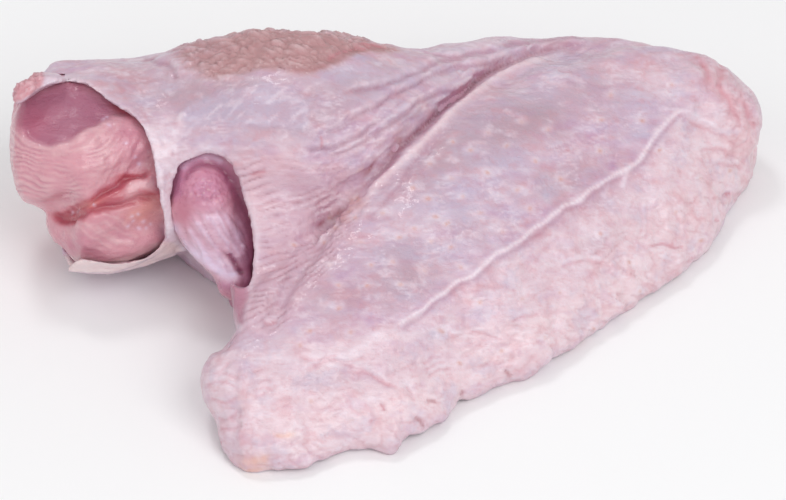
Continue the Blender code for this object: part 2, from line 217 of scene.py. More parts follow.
# Reddish and purple blotches: place, half length, half width, turn.
BLUSHES = [
    (571, 148, 9, 5, 0), (634, 176, 8, 5, 20), (611, 194, 8, 5, 0), (657, 181, 8, 5, 10),
    (577, 209, 11, 5, -8), (539, 233, 14, 6, -25), (605, 70, 11, 6, 0), (643, 68, 18, 7, 5),
    (471, 287, 20, 5, -8), (474, 302, 14, 5, 0), (681, 195, 13, 7, 0), (708, 174, 10, 8, 40),
    (430, 350, 14, 4, 20), (370, 416, 5, 12, 0), (392, 385, 16, 4, 20), (586, 296, 6, 4, 0),
    (123, 97, 7, 5, 0), (133, 80, 22, 7, 5), (120, 86, 26, 10, 0), (250, 160, 30, 7, -10),
    (272, 172, 22, 4, -20), (700, 215, 18, 10, -40), (650, 225, 10, 14, 0), (745, 180, 10, 20, 0),
]
BRUISES = [
    (560, 126, 24, 7, -30), (607, 167, 14, 8, -20), (502, 210, 16, 6, -5), (372, 322, 13, 10, 0),
    (360, 300, 22, 14, 0), (346, 276, 24, 14, -20), (468, 310, 30, 8, -5), (620, 160, 20, 6, -35),
    (590, 136, 28, 7, -20), (540, 214, 18, 5, -10),
]
BLUE_SHEENS = [
    (452, 200, 46, 22, -8), (420, 255, 60, 16, -10), (408, 293, 22, 9, 0), (432, 334, 18, 8, 0),
    (400, 82, 40, 10, -12), (350, 74, 36, 10, 0), (500, 160, 40, 20, -20), (540, 100, 34, 18, -10),
    (640, 100, 26, 16, 0), (480, 125, 30, 14, -30), (646, 213, 14, 7, 0), (560, 60, 30, 8, -5),
    (255, 340, 22, 12, 0), (640, 135, 24, 12, 0), (242, 108, 40, 12, 0),
]
PALE_PATCHES = [
    (596, 232, 22, 12, -20), (650, 205, 18, 9, 0), (470, 335, 26, 11, -10), (505, 262, 34, 9, -15),
    (560, 250, 30, 12, -30), (436, 372, 26, 11, -10), (330, 366, 34, 7, -6), (400, 330, 14, 5, -35),
    (456, 308, 12, 5, 0), (300, 440, 40, 12, 5), (690, 110, 16, 7, -20), (668, 92, 22, 12, 0),
    (160, 150, 14, 22, 20), (172, 196, 9, 40, 0), (290, 152, 26, 8, 0), (560, 330, 40, 14, -25),
    (640, 262, 34, 14, -40), (728, 205, 12, 26, 10), (600, 296, 30, 12, -35), (210, 148, 22, 5, 0),
]
WARM_PATCHES = [
    (276, 165, 32, 16, 0), (254, 190, 8, 40, 5), (345, 420, 60, 30, 0), (700, 150, 40, 30, 0),
    (690, 240, 30, 40, -40), (500, 350, 80, 24, -30), (270, 420, 26, 40, 0), (410, 400, 50, 22, -20),
    (128, 84, 50, 12, 5), (715, 70, 22, 20, 30), (600, 316, 60, 18, -35),
]
OCHRE_SPOTS = [
    (344, 214, 18, 8, -40), (364, 172, 7, 5, -40), (356, 200, 9, 6, 0), (396, 144, 10, 3, -58),
]
# Places where the skin is painted greyer and darker, partly its own greyer tone and partly painted shade:
# place, half length, half width, turn, strength.
GREYED_AND_SHADED = [
    (195, 92, 70, 20, -6, 0.8), (265, 108, 60, 20, -8, 0.75), (310, 118, 50, 18, -20, 0.55),
    (350, 88, 40, 12, -15, 0.4), (440, 158, 46, 26, -30, 0.85), (520, 122, 54, 24, -15, 0.95),
    (330, 100, 40, 18, -10, 0.4), (572, 178, 34, 16, -20, 0.5), (390, 256, 34, 18, -20, 0.4),
    (330, 298, 30, 16, -20, 0.4), (350, 378, 60, 14, 0, 0.25), (600, 92, 44, 18, 0, 0.35),
    (450, 232, 40, 16, -15, 0.3), (262, 310, 26, 36, 20, 0.35), (300, 275, 40, 26, -30, 0.4),
    (405, 280, 44, 18, -20, 0.7), (350, 300, 30, 16, 0, 0.3), (420, 108, 30, 14, -35, 0.4),
    (120, 80, 40, 14, -5, 0.4), (600, 240, 26, 12, -20, 0.3),
]
# Places where it is painted lighter, partly its own paler tone and partly painted light where the skin
# turns away from the lamps, with the same numbers.
PALER_AND_LIT = [
    (170, 215, 9, 40, 0, 0.6), (160, 138, 14, 26, 20, 0.5), (264, 215, 14, 30, 0, 0.5),
    (390, 140, 16, 10, -40, 0.3), (330, 200, 20, 10, -40, 0.5), (650, 80, 40, 18, 10, 0.4),
    (745, 150, 26, 54, 0, 1.0), (700, 200, 40, 36, -50, 0.55), (720, 100, 26, 26, 40, 0.5),
    (560, 330, 120, 26, -32, 0.65), (420, 400, 60, 22, -25, 0.45), (300, 445, 60, 22, -5, 0.5),
    (220, 400, 22, 60, 0, 0.6), (640, 265, 50, 34, -45, 0.7), (330, 400, 60, 16, -8, 0.2),
]
ORANGE_FAT = [(249, 462, 7, 6, 0), (262, 458, 8, 5, 0), (282, 434, 10, 3, 0), (256, 468, 10, 3, 0)]

# Which way the lines on the upper arm and the pebbles on its back run, in degrees.
ARM_TURN = -33
PEBBLE_TURN = 30
# Thin lines that wander over the skin: size, length, turn, seed, width and depth.
THIN_LINES = [
    ("arm lines", 9, 4.2, ARM_TURN, 13, 0.15, 0.35),
    ("lower lines", 13, 2.6, -20, 17, 0.12, 0.3),
    ("elbow lines", 9, 1.8, 70, 23, 0.14, 0.28),
    ("edge lines", 11, 2.2, 25, 24, 0.12, 0.3),
    ("creases", 6, 3.2, -8, 26, 0.1, 0.16),
]
# Where the patch on the back grows strong, from left to right.
PATCH_FADE = (168, 236)
# The upper arm's axis, as y and height, and its girth's radius, for patterns that wrap it.
ARM_AXIS = (24.5, 28)
ARM_RADIUS = 28
# Places where the outline is fuller or hollower than the solid's: place, half sizes, height.
OUTLINE_BUMPS = [
    (645, 38, 28, 10, 1.2), (736, 62, 14, 14, 1.2), (222, 345, 10, 8, -1.2), (50, 66, 12, 8, -0.8),
    (441, 417, 12, 10, 1.7), (410, 442, 8, 9, -1.8), (461, 401, 7, 8, -1.2), (390, 447, 9, 8, 1.3),
    (528, 376, 14, 8, 0.8), (545, 372, 6, 8, -0.8), (640, 300, 12, 10, -0.9), (757, 160, 8, 14, -0.8),
]
BRIDGE_FOLDS = [
    [(125, 122), (138, 136), (148, 152), (156, 172), (161, 190)],
    [(186, 112), (176, 130), (170, 150), (168, 172)],
    [(150, 128), (159, 142), (165, 160)],
    [(166, 192), (170, 212), (176, 236), (186, 250)],
]
RED_LINES = [
    [(649, 245), (662, 243), (672, 247), (684, 248)],
    [(712, 218), (718, 221)],
    [(724, 195), (731, 195)],
    [(326, 60), (340, 53), (357, 48), (372, 47)],
    [(322, 134), (324, 140), (323, 147)],
    [(352, 45), (368, 43), (385, 47)],
    [(208, 432), (214, 440), (222, 444)],
    [(253, 176), (260, 172), (268, 170)],
    [(380, 402), (384, 410)],
]
ELBOW_AREA = [
    (690, 52), (716, 50), (742, 74), (762, 112), (762, 150), (748, 176), (722, 160), (730, 128),
    (716, 100), (700, 84),
]
ARM_SIDE = [
    (308, 150), (322, 128), (350, 108), (400, 82), (455, 58), (520, 44), (602, 40), (603, 47),
    (540, 54), (484, 76), (446, 105), (424, 126), (388, 164), (352, 194), (330, 188), (312, 168),
]
LOWER_SKIN = [
    (246, 350), (330, 338), (400, 322), (470, 285), (545, 236), (620, 190), (680, 130), (752, 140),
    (740, 205), (690, 275), (600, 330), (520, 375), (450, 410), (390, 446), (300, 466), (254, 470),
    (246, 420),
]
FAT_KNOB = [(12, 103), (14, 86), (26, 75), (37, 70), (45, 76), (43, 84), (32, 93), (20, 102)]
UNDER_STRIP = [
    (176, 255), (190, 262), (208, 268), (226, 276), (240, 262), (250, 280), (246, 306), (238, 320),
    (222, 300), (204, 287), (188, 271),
]
WINDOW_EDGE = [(168, 228), (176, 238), (188, 249), (200, 261), (213, 272), (228, 280)]
UNDER_EDGE = [
    (186, 264), (198, 275), (212, 284), (226, 288), (234, 300), (232, 314), (222, 304), (206, 294),
    (190, 280),
]
WEB_FOOT = [(222, 280), (232, 284), (246, 286), (245, 304), (240, 324), (234, 314), (227, 298)]
# The forearm's trailing edge on the table, seen from above, elbow to wrist.
TRAILING_EDGE = [
    (98, 50), (90, 30), (76, 8), (60, -14), (44, -32), (26, -52), (8, -63), (-14, -70), (-36, -74),
    (-42, -68),
]

# Lines and spots on the meat.
LOBE_HOLLOW = [
    (16, 101), (30, 95), (55, 86), (89, 90), (125, 114), (113, 117), (98, 124), (85, 130), (71, 141),
    (45, 147), (27, 139), (17, 121),
]
HOLLOW_RIM = [
    (19, 128), (23, 136), (35, 144), (51, 148), (65, 146), (76, 141), (85, 134), (99, 126), (113, 118),
]
SECOND_RIM = [(48, 154), (71, 152), (89, 144), (99, 134), (108, 126)]
LOBE_FOLD = [(50, 212), (73, 219), (86, 214), (101, 208), (118, 203), (138, 199), (158, 194)]
UPPER_FOLD = [(60, 214), (81, 208), (105, 192), (125, 178), (140, 174), (153, 173)]
FASCIA_BAND = [(96, 204), (112, 190), (128, 181), (152, 176), (158, 190), (140, 197), (118, 202)]
# The upper lobe's fibres run in rings round a centre: how far from it they start, and where
# they end to the top, to the right and to the bottom.
FIBRE_CENTRE = (62, 98)
FIBRE_START = (44, 58)
FIBRE_TOP = 100
FIBRE_RIGHT = (95, 125)
FIBRE_BOTTOM = (216, 200)
# Spots: place, half length, half width, and turn where it isn't 0.
HOLLOW_LEFT = (32, 122, 20, 16)
HOLLOW_TOP_SHADE = (78, 104, 34, 16, 25)
LOBE_GLEAM = (108, 146, 6, 24, 15)
LIT_LOBE_CORNER = (120, 118, 12, 8, 35)
LOBE_RIGHT = (132, 142, 14, 26, -20)
LOWER_SHADE = (76, 246, 20, 9, 10)
STRIP_GLEAM = (148, 251, 24, 6, -12)
WINDOW_FOOT = (226, 288, 12, 9)
LOWER_LINES = [
    [(95, 226), (110, 235), (128, 243), (137, 244)],
    [(84, 222), (100, 234), (120, 242)],
    [(76, 226), (92, 238), (112, 247)],
    [(104, 222), (120, 230), (140, 238)],
    [(66, 232), (84, 244), (104, 250)],
    [(100, 212), (116, 218), (132, 228)],
]
RED_STREAKS = [
    (88, 209, 12, 3, -20), (110, 200, 16, 6, -28), (98, 202, 13, 4, -30), (116, 188, 14, 3.5, -32),
    (150, 193, 12, 3, 0), (133, 173, 18, 2.5, -10), (72, 217, 14, 3, 10), (158, 196, 6, 9, 0),
    (122, 111, 14, 3, 32),
]
ORANGE_MEAT = [(149, 206, 16, 12, -10), (138, 216, 16, 10, 0), (92, 205, 14, 4, -25)]
WHITE_GLINTS = [
    (131, 217), (137, 215), (142, 222), (129, 225), (146, 228), (139, 229), (133, 222), (151, 224),
    (74, 210), (80, 211), (95, 205), (125, 143), (136, 156), (108, 116), (110, 124), (104, 118),
    (141, 163),
]
CREAM_STRIP = [
    (65, 256), (95, 259), (117, 258), (145, 252), (169, 242), (182, 248), (170, 260), (130, 272),
    (90, 280), (60, 276),
]
STRIP_EDGE = [(92, 254), (110, 255), (128, 254), (146, 250), (160, 244), (172, 236)]
WINDOW_DOME = (205, 188, 30, 26, 0)
WINDOW_SHADE = [
    (176, 190), (178, 176), (187, 164), (200, 158), (214, 158), (226, 167), (235, 183), (241, 205),
    (248, 230), (250, 255), (246, 285),
]
BUBBLES = (204, 192, 19, 15)
BUBBLE_SIZE = 1.3
WINDOW_PLEATS = [
    [(206, 214), (216, 228), (226, 242), (238, 262)],
    [(214, 212), (222, 226), (232, 240), (244, 258)],
    [(222, 212), (230, 224), (238, 238), (246, 250)],
    [(196, 220), (206, 236), (218, 252), (228, 268)],
    [(188, 226), (196, 242), (208, 258), (222, 272)],
]
WINDOW_SHEATH = [
    (196, 216), (220, 206), (238, 214), (248, 240), (244, 272), (228, 278), (206, 266), (190, 250),
    (186, 232),
]
RIGHT_FIBRES = [
    (110, 114), (124, 122), (146, 142), (158, 172), (130, 180), (104, 190), (84, 204), (96, 170),
    (104, 140),
]
WINDOW_SLIT = [(230, 252), (236, 262), (243, 275)]
WINDOW_FAT = [(172, 232), (178, 244), (190, 252), (204, 260), (217, 268), (230, 275)]
WINDOW_DARK = [(224, 170), (233, 184), (241, 202), (248, 224), (252, 244), (249, 268)]
WINDOW_LIP = [(180, 171), (188, 162), (200, 157), (212, 157), (224, 164)]
UNDER_LIP = [(184, 183), (189, 172), (199, 165), (212, 164), (222, 169), (231, 181)]
WINDOW_REDDENED = (182, 212, 10, 30, 0)
WINDOW_WALL = (240, 236, 7, 20, -12)
LOBE_SEAM = (84, 203, 52, 24, -28)
RED_FOLD = [(56, 212), (80, 205), (104, 190), (120, 180), (124, 187), (110, 200), (92, 212), (70, 219)]


def rgb(red, green, blue):
    """A colour as pickers show it, from numbers up to 255."""
    return (red / 255, green / 255, blue / 255)


def linear(colour):
    """The light that a picker's colour stands for."""
    colour = np.asarray(colour, float)
    return np.where(colour <= 0.04045, colour / 12.92, ((colour + 0.055) / 1.055) ** 2.4)


def smooth_step(low, high, value):
    """0 up to the first limit, 1 from the second on, and a soft rise between them."""
    share = np.clip((value - low) / (high - low), 0, 1)
    return share * share * (3 - 2 * share)


def smooth_line(spots, count=90):
    """Even steps along a smooth curve through these spots."""
    known = np.array(spots, float)
    along = np.concatenate([[0], np.cumsum(np.linalg.norm(np.diff(known, axis=0), axis=1))])
    slopes = np.gradient(known, along, axis=0)
    wanted = np.linspace(0, along[-1], count)
    piece = np.clip(np.searchsorted(along, wanted, side="right") - 1, 0, len(along) - 2)
    span = (along[piece + 1] - along[piece])[:, None]
    t = (wanted - along[piece])[:, None] / span
    return (
        (2 * t**3 - 3 * t**2 + 1) * known[piece]
        + (t**3 - 2 * t**2 + t) * span * slopes[piece]
        + (3 * t**2 - 2 * t**3) * known[piece + 1]
        + (t**3 - t**2) * span * slopes[piece + 1]
    )


def picture_places(points):
    """Where these points show in the photograph."""
    from_camera = points - CAMERA_PLACE
    scale = PIXELS_PER_MM * CAMERA_DISTANCE / (from_camera @ FORWARD)
    across = PICTURE[0] / 2 + from_camera @ RIGHT * scale
    down = PICTURE[1] / 2 - from_camera @ UP * scale
    return np.stack([across, down], axis=1)


def lumps(points, size, seed=0):
    """Soft noise from -1 to 1 with lumps of this size."""
    shifted = np.atleast_2d(points) / size + seed * 17.3
    if shifted.shape[1] == 2:
        shifted = np.column_stack([shifted, np.full(len(shifted), seed * 3.1)])
    return np.array([noise.noise(spot) for spot in shifted.tolist()])


def read(mesh, what):
    """The places or normals of the mesh's points as an array."""
    flat = np.empty(len(mesh.vertices) * 3, np.float32)
    mesh.vertices.foreach_get(what, flat)
    return flat.reshape(-1, 3).astype(float)


def shifted(lines, right, down):
    """The same lines, moved over the picture."""
    return [[(x + right, y + down) for x, y in line] for line in lines]


def edges_of(mesh):
    """The mesh's edges, as pairs of point numbers."""
    flat = np.empty(len(mesh.edges) * 2, np.int32)
    mesh.edges.foreach_get("vertices", flat)
    return flat.reshape(-1, 2)


def apply_modifiers(piece):
    """Puts the evaluated mesh in the place of the piece's own, and drops its modifiers."""
    graph = bpy.context.evaluated_depsgraph_get()
    mesh = bpy.data.meshes.new_from_object(piece.evaluated_get(graph))
    piece.modifiers.clear()
    piece.data = mesh


def neighbour_means(points, edges):
    """The middle of each point's neighbours."""
    count = len(points)
    first, second = edges.T
    sums = [
        np.bincount(first, points[second, k], count) + np.bincount(second, points[first, k], count)
        for k in range(3)
    ]
    return np.stack(sums, axis=1) / np.bincount(edges.ravel(), minlength=count)[:, None]


def evened(points, edges, rounds, keep=0.53):
    """The points with the facets smoothed away and the form kept."""
    for step in range(rounds * 2):
        share = 0.5 if step % 2 == 0 else -keep
        points = points + (neighbour_means(points, edges) - points) * share
    return points


def fine_copy(node, name, voxel, rounds):
    """A new piece with a node's form, in small even faces."""
    piece = bpy.data.objects.new(name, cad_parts[node].data.copy())
    bpy.context.scene.collection.objects.link(piece)
    remesh = piece.modifiers.new("fine", "REMESH")
    remesh.mode = "VOXEL"
    remesh.voxel_size = voxel * MM
    apply_modifiers(piece)
    points = evened(read(piece.data, "co") / MM, edges_of(piece.data), rounds)
    piece.data.vertices.foreach_set("co", (points * MM).astype(np.float32).ravel())
    piece.data.update()
    return piece


def surface_tree(mesh):
    """The mesh's faces, ready for finding the nearest one or the one that a ray hits."""
    return BVHTree.FromPolygons([v.co for v in mesh.vertices], [p.vertices for p in mesh.polygons])


def beside_node(piece, node, reach):
    """Which of the piece's points are this near to a node's surface."""
    tree = surface_tree(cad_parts[node].data)
    limit = reach * MM
    found = [tree.find_nearest(vertex.co, limit)[0] is not None for vertex in piece.data.vertices]
    return np.array(found)


def thin_hidden(piece, hidden, keep):
    """Thins the faces whose points are hidden, and leaves the others as they are."""
    group = piece.vertex_groups.new(name="hidden")
    group.add(np.flatnonzero(hidden).tolist(), 1, "REPLACE")
    thin = piece.modifiers.new("thin", "DECIMATE")
    thin.vertex_group = group.name
    thin.ratio = 1 - (1 - keep) * hidden.mean()
    apply_modifiers(piece)
    piece.vertex_groups.clear()


def shrunk(chosen, edges, rounds):
    """The chosen points without those nearest to the others."""
    chosen = chosen.copy()
    for _ in range(rounds):
        border = edges[~chosen[edges].all(axis=1)]
        chosen[border.ravel()] = False
    return chosen


class Surface:
    """A piece's points as arrays, with the height to raise each one by and its colour."""

    def __init__(self, piece, base):
        self.piece = piece
        self.points = read(piece.data, "co") / MM
        self.colour = np.tile(np.array(base, float), (len(self.points), 1))
        self.wetness = np.ones(len(self.points))
        self.measure()

    def measure(self):
        """Finds where each point faces and shows, and clears the heights."""
        self.normals = read(self.piece.data, "normal")
        self.places = picture_places(self.points)
        drift = [
            lumps(self.points, 3.5, seed) * 2.4 + lumps(self.points, 9, seed + 2) * 3
            for seed in (1, 2)
        ]
        self.drawn = self.places + np.stack(drift, axis=1)
        self.facing = smooth_step(-0.05, 0.3, self.normals @ -FORWARD)
        self.height = np.zeros(len(self.points))

    def settle(self):
        """Moves the points out by their heights and measures again."""
        self.points += self.normals * self.height[:, None]
        self.points[:, 2] = np.maximum(self.points[:, 2], 0)
        self.piece.data.vertices.foreach_set("co", (self.points * MM).astype(np.float32).ravel())
        self.piece.data.update()
        self.measure()

    def relax(self, rounds):
        """Smooths away the steps that narrow lines leave on the side that shows."""
        eased = evened(self.points, edges_of(self.piece.data), rounds)
        self.points += (eased - self.points) * self.facing[:, None]
        self.settle()

    def melt(self, weight, rounds):
        """Smooths the chosen part until its own folds are gone."""
        edges = edges_of(self.piece.data)
        for _ in range(rounds):
            step = neighbour_means(self.points, edges) - self.points
            self.points += step * 0.6 * weight[:, None]
        self.settle()

    def blunt(self, lines, width, limit):
        """Draws in the points near these lines that stand out from their neighbours."""
        strokes = [self.stroke(line, width, taper=0, steady=True, edge=True) for line in lines]
        near = np.max(strokes, axis=0) > 0.3
        edges = edges_of(self.piece.data)
        for _ in range(6):
            step = neighbour_means(self.points, edges) - self.points
            out = near & (np.linalg.norm(step, axis=1) > limit)
            self.points[out] += step[out]
        self.settle()

    def lift(self, height, weight):
        """Adds to the heights by which the points will be moved."""
        self.height += height * weight

    def paint(self, colour, weight):
        """Blends a colour in, fully where the weight is 1."""
        weight = np.clip(weight, 0, 1)[:, None]
        self.colour += (np.array(colour) - self.colour) * weight

    def stroke(self, line, width, taper=0.08, steady=False, edge=False):
        """How near each point is to a line of this width, fading to its ends."""
        track = smooth_line(line)
        places = self.places if steady else self.drawn
        reach = width * 3 * PIXELS_PER_MM
        low = track.min(axis=0) - reach
        high = track.max(axis=0) + reach
        near = np.flatnonzero(((places > low) & (places < high)).all(axis=1))
        weight = np.zeros(len(self.points))
        if len(near) == 0:
            return weight
        gaps = places[near][:, None, :] - track[None, :, :]
        distance = np.linalg.norm(gaps, axis=2)
        nearest = distance.argmin(axis=1)
        rows = np.arange(len(near))
        away = distance[rows, nearest] / PIXELS_PER_MM / width
        along = nearest / (len(track) - 1)
        fade = np.clip(np.minimum(along, 1 - along) / taper, 0.15, 1) if taper else 1.0
        weight[near] = np.exp(-(away**2)) * fade * (1 if edge else self.facing[near])
        return weight

    def spot(self, x, y, long, wide, turn=0, edge=False):
        """How near each point is to the middle of an oval spot."""
        across, down = (self.drawn - (x, y)).T
        turn = math.radians(turn)
        a = (across * math.cos(turn) + down * math.sin(turn)) / long
        b = (down * math.cos(turn) - across * math.sin(turn)) / wide
        return np.exp(-(a * a + b * b)) * (1 if edge else self.facing)

    def inside(self, outline, soft):
        """1 inside an outline and 0 outside, with a border this soft."""
        track = smooth_line(outline + outline[:1], 160)
        low = track.min(axis=0) - soft * PIXELS_PER_MM
        high = track.max(axis=0) + soft * PIXELS_PER_MM
        near = np.flatnonzero(((self.drawn > low) & (self.drawn < high)).all(axis=1))
        weight = np.zeros(len(self.points))
        if len(near) == 0:
            return weight
        x, y = self.drawn[near].T
        within = np.zeros(len(near), bool)
        for (ax, ay), (bx, by) in zip(track[:-1], track[1:]):
            if ay == by:
                continue
            crosses = (ay > y) != (by > y)
            within ^= crosses & (x < (bx - ax) * (y - ay) / (by - ay) + ax)
        gaps = np.linalg.norm(self.drawn[near][:, None, :] - track[None], axis=2).min(axis=1)
        signed = np.where(within, gaps, -gaps) / PIXELS_PER_MM
        weight[near] = smooth_step(-soft, soft, signed) * self.facing[near]
        return weight

    def ridges(self, lines, height, width, **how):
        """Raises each of these lines, or presses it in where the height is below 0."""
        for line in lines:
            self.lift(height, self.stroke(line, width, **how))

    def trace(self, colour, lines, width, share, **how):
        """Paints along each of these lines."""
        for line in lines:
            self.paint(colour, self.stroke(line, width, **how) * share)

    def dab(self, colour, spots, share, **how):
        """Paints each of these oval spots."""
        for spot in spots:
            self.paint(colour, self.spot(*spot, **how) * share)

    def wander(self, size, stretch, turn, seed):
        """Noise drawn out along a direction in the picture. Its zero lines run like wrinkles."""
        turned = self.places @ rotation(turn) * (1 / stretch, 1)
        return lumps(turned, size, seed) + 0.4 * lumps(turned, size / 2.2, seed + 1)

    def keep_colour(self):
        """Writes the colours and the wetness to the mesh for the material to read."""
        wet = self.piece.data.attributes.new("wetness", "FLOAT", "POINT")
        wet.data.foreach_set("value", self.wetness.astype(np.float32))
        layer = self.piece.data.color_attributes.new("paint", "FLOAT_COLOR", "POINT")
        shades = np.column_stack([linear(np.clip(self.colour, 0, 1)), np.ones(len(self.colour))])
        layer.data.foreach_set("color", shades.astype(np.float32).ravel())
        self.piece.data.color_attributes.active_color = layer


def fan_heights(places):
    """Which wrinkle of the web each place is on, as its height at the free edge."""
    x = places[:, 0] - FAN_EDGE
    edge, slope, bend = np.array(FAN_LINES).T
    height = places[:, 1] + 0.2 * x
    for _ in range(8):
        target = places[:, 1] + np.interp(height, edge, slope) * x + np.interp(height, edge, bend) * x * x
        height = 0.5 * height + 0.5 * target
    return height


def furrows(value, sharp):
    """Ridges with narrow valleys between them, from 0 on a ridge to -1 in a valley."""
    return -(1 - np.abs(np.sin(math.pi * value))) ** sharp


def along_zero(noise_values, width):
    """1 where the noise crosses zero, so along thin wandering lines, and 0 between them."""
    return np.exp(-((noise_values / width) ** 2))


def cells(points, size, seed):
    """0 on the borders of uneven cells and up to 1 inside them."""
    found = [noise.voronoi(spot)[0] for spot in (points / size + seed * 7.7).tolist()]
    return np.clip([near[1] - near[0] for near in found], 0, 1)


def node_group(name, inputs, result, kind):
    """A shader node group with these named inputs, colours or numbers, and one output."""
    group = bpy.data.node_groups.new(name, "ShaderNodeTree")
    for label, value in inputs.items():
        wanted = "NodeSocketColor" if isinstance(value, tuple) else "NodeSocketFloat"
        group.interface.new_socket(label, in_out="INPUT", socket_type=wanted).default_value = value
    group.interface.new_socket(result, in_out="OUTPUT", socket_type=kind)
    return group, group.nodes.new("NodeGroupInput"), group.nodes.new("NodeGroupOutput")


def set_or_link(tree, socket, value):
    """Sets a socket to a number, or links it to another socket."""
    if isinstance(value, (int, float)):
        socket.default_value = value
    else:
        tree.links.new(value, socket)


def math_node(tree, operation, first, second):
    """A Math node on two sockets or numbers."""
    made = tree.nodes.new("ShaderNodeMath")
    made.operation = operation
    set_or_link(tree, made.inputs[0], first)
    set_or_link(tree, made.inputs[1], second)
    return made.outputs[0]


def noise_node(tree, vector, scale, detail):
    """A Noise Texture node at a place, with a scale that is a socket or a number."""
    made = tree.nodes.new("ShaderNodeTexNoise")
    made.inputs["Detail"].default_value = detail
    tree.links.new(vector, made.inputs["Vector"])
    set_or_link(tree, made.inputs["Scale"], scale)
    return made.outputs["Fac"]


def stretched_place(tree, stretch):
    """The object's own coordinates, drawn out along X by this much."""
    place = tree.nodes.new("ShaderNodeTexCoord").outputs["Object"]
    mapping = tree.nodes.new("ShaderNodeMapping")
    tree.links.new(place, mapping.inputs["Vector"])
    combine = tree.nodes.new("ShaderNodeCombineXYZ")
    tree.links.new(math_node(tree, "DIVIDE", 1.0, stretch), combine.inputs["X"])
    combine.inputs["Y"].default_value = 1
    combine.inputs["Z"].default_value = 1
    tree.links.new(combine.outputs[0], mapping.inputs["Scale"])
    return mapping.outputs[0]


def grain_group():
    """The fine grain of raw tissue: a normal with pimples, faint streaks and thin creases."""
    values = {"Size": 900.0, "Stretch": 1.0, "Depth": 0.1, "Crinkle": 0.5}
    group, start, end = node_group("Moist Grain", values, "Normal", "NodeSocketVector")
    place = stretched_place(group, start.outputs["Stretch"])
    size = start.outputs["Size"]
    coarse = noise_node(group, place, size, 3.0)
    finer = noise_node(group, place, math_node(group, "MULTIPLY", size, 3.2), 2.0)
    height = math_node(group, "ADD", coarse, math_node(group, "MULTIPLY", finer, 0.45))
    folds = noise_node(group, place, math_node(group, "MULTIPLY", size, 0.3), 4.0)
    gap = math_node(group, "ABSOLUTE", math_node(group, "SUBTRACT", folds, 0.5), 0.0)
    crest = math_node(group, "POWER", math_node(group, "MULTIPLY", gap, 4.0), 0.5)
    lines = math_node(group, "MULTIPLY", crest, start.outputs["Crinkle"])
    height = math_node(group, "ADD", height, lines)
    bump = group.nodes.new("ShaderNodeBump")
    bump.inputs["Strength"].default_value = 1
    depth = math_node(group, "MULTIPLY", start.outputs["Depth"], MM)
    group.links.new(depth, bump.inputs["Distance"])
    group.links.new(height, bump.inputs["Height"])
    group.links.new(bump.outputs["Normal"], end.inputs["Normal"])
    return group


def mottle_group():
    """Uneven tone: a colour made a little lighter and darker in streaks and flecks."""
    values = {"Color": (0.8, 0.6, 0.6, 1), "Deep Color": (0.6, 0.3, 0.3, 1),
              "Size": 300.0, "Stretch": 1.0, "Amount": 0.2}
    group, start, end = node_group("Mottle", values, "Color", "NodeSocketColor")
    place = stretched_place(group, start.outputs["Stretch"])
    tone = noise_node(group, place, start.outputs["Size"], 4.0)
    centred = math_node(group, "SUBTRACT", tone, 0.42)
    strong = math_node(group, "MULTIPLY", centred, 3.0)
    factor = math_node(group, "MULTIPLY", strong, start.outputs["Amount"])
    mix = group.nodes.new("ShaderNodeMix")
    mix.data_type = "RGBA"
    mix.clamp_factor = True
    colours = [socket for socket in mix.inputs if socket.type == "RGBA"]
    group.links.new(factor, mix.inputs["Factor"])
    group.links.new(start.outputs["Color"], colours[0])
    group.links.new(start.outputs["Deep Color"], colours[1])
    result = next(socket for socket in mix.outputs if socket.type == "RGBA")
    group.links.new(result, end.inputs["Color"])
    return group


def sheen_group():
    """Wet and dry patches: a roughness that changes over the surface."""
    values = {"Wet": 0.25, "Dry": 0.5, "Size": 120.0}
    group, start, end = node_group("Moist Sheen", values, "Roughness", "NodeSocketFloat")
    place = stretched_place(group, 1.0)
    patches = noise_node(group, place, start.outputs["Size"], 3.0)
    span = math_node(group, "SUBTRACT", start.outputs["Dry"], start.outputs["Wet"])
    spread = math_node(group, "MULTIPLY", patches, span)
    rough = math_node(group, "ADD", start.outputs["Wet"], spread)
    group.links.new(rough, end.inputs["Roughness"])
    return group


def shared_group(name):
    """The named node group, built the first time that a material asks for it."""
    makers = {"Moist Grain": grain_group, "Mottle": mottle_group, "Moist Sheen": sheen_group}
    return bpy.data.node_groups.get(name) or makers[name]()


def place_group(material, name, **values):
    """A shared group placed in a material with its own values."""
    made = material.node_tree.nodes.new("ShaderNodeGroup")
    made.node_tree = shared_group(name)
    for label, value in values.items():
        made.inputs[label.replace("_", " ")].default_value = value
    return made


def tissue_material(name, deep, mottle, grain, sheen, subsurface, coat):
    """Moist raw tissue in the colours that are painted on the mesh."""
    material = bpy.data.materials.new(name)
    material.use_nodes = True
    nodes = material.node_tree.nodes
    links = material.node_tree.links
    shader = nodes["Principled BSDF"]
    paint = nodes.new("ShaderNodeVertexColor")
    paint.layer_name = "paint"
    tone = place_group(material, "Mottle", Deep_Color=(*linear(deep), 1), **mottle)
    links.new(paint.outputs["Color"], tone.inputs["Color"])
    links.new(tone.outputs["Color"], shader.inputs["Base Color"])
    rough = place_group(material, "Moist Sheen", **sheen)
    links.new(rough.outputs["Roughness"], shader.inputs["Roughness"])
    bump = place_group(material, "Moist Grain", **grain)
    links.new(bump.outputs["Normal"], shader.inputs["Normal"])
    shader.inputs["Subsurface Weight"].default_value = subsurface
    shader.inputs["Subsurface Radius"].default_value = (1.0, 0.42, 0.36)
    shader.inputs["Subsurface Scale"].default_value = 2.5 * MM
    wetness = nodes.new("ShaderNodeAttribute")
    wetness.attribute_name = "wetness"
    wet_coat = math_node(material.node_tree, "MULTIPLY", wetness.outputs["Fac"], coat)
    links.new(wet_coat, shader.inputs["Coat Weight"])
    shader.inputs["Coat Roughness"].default_value = 0.1
    shader.inputs["IOR"].default_value = 1.4
    return material


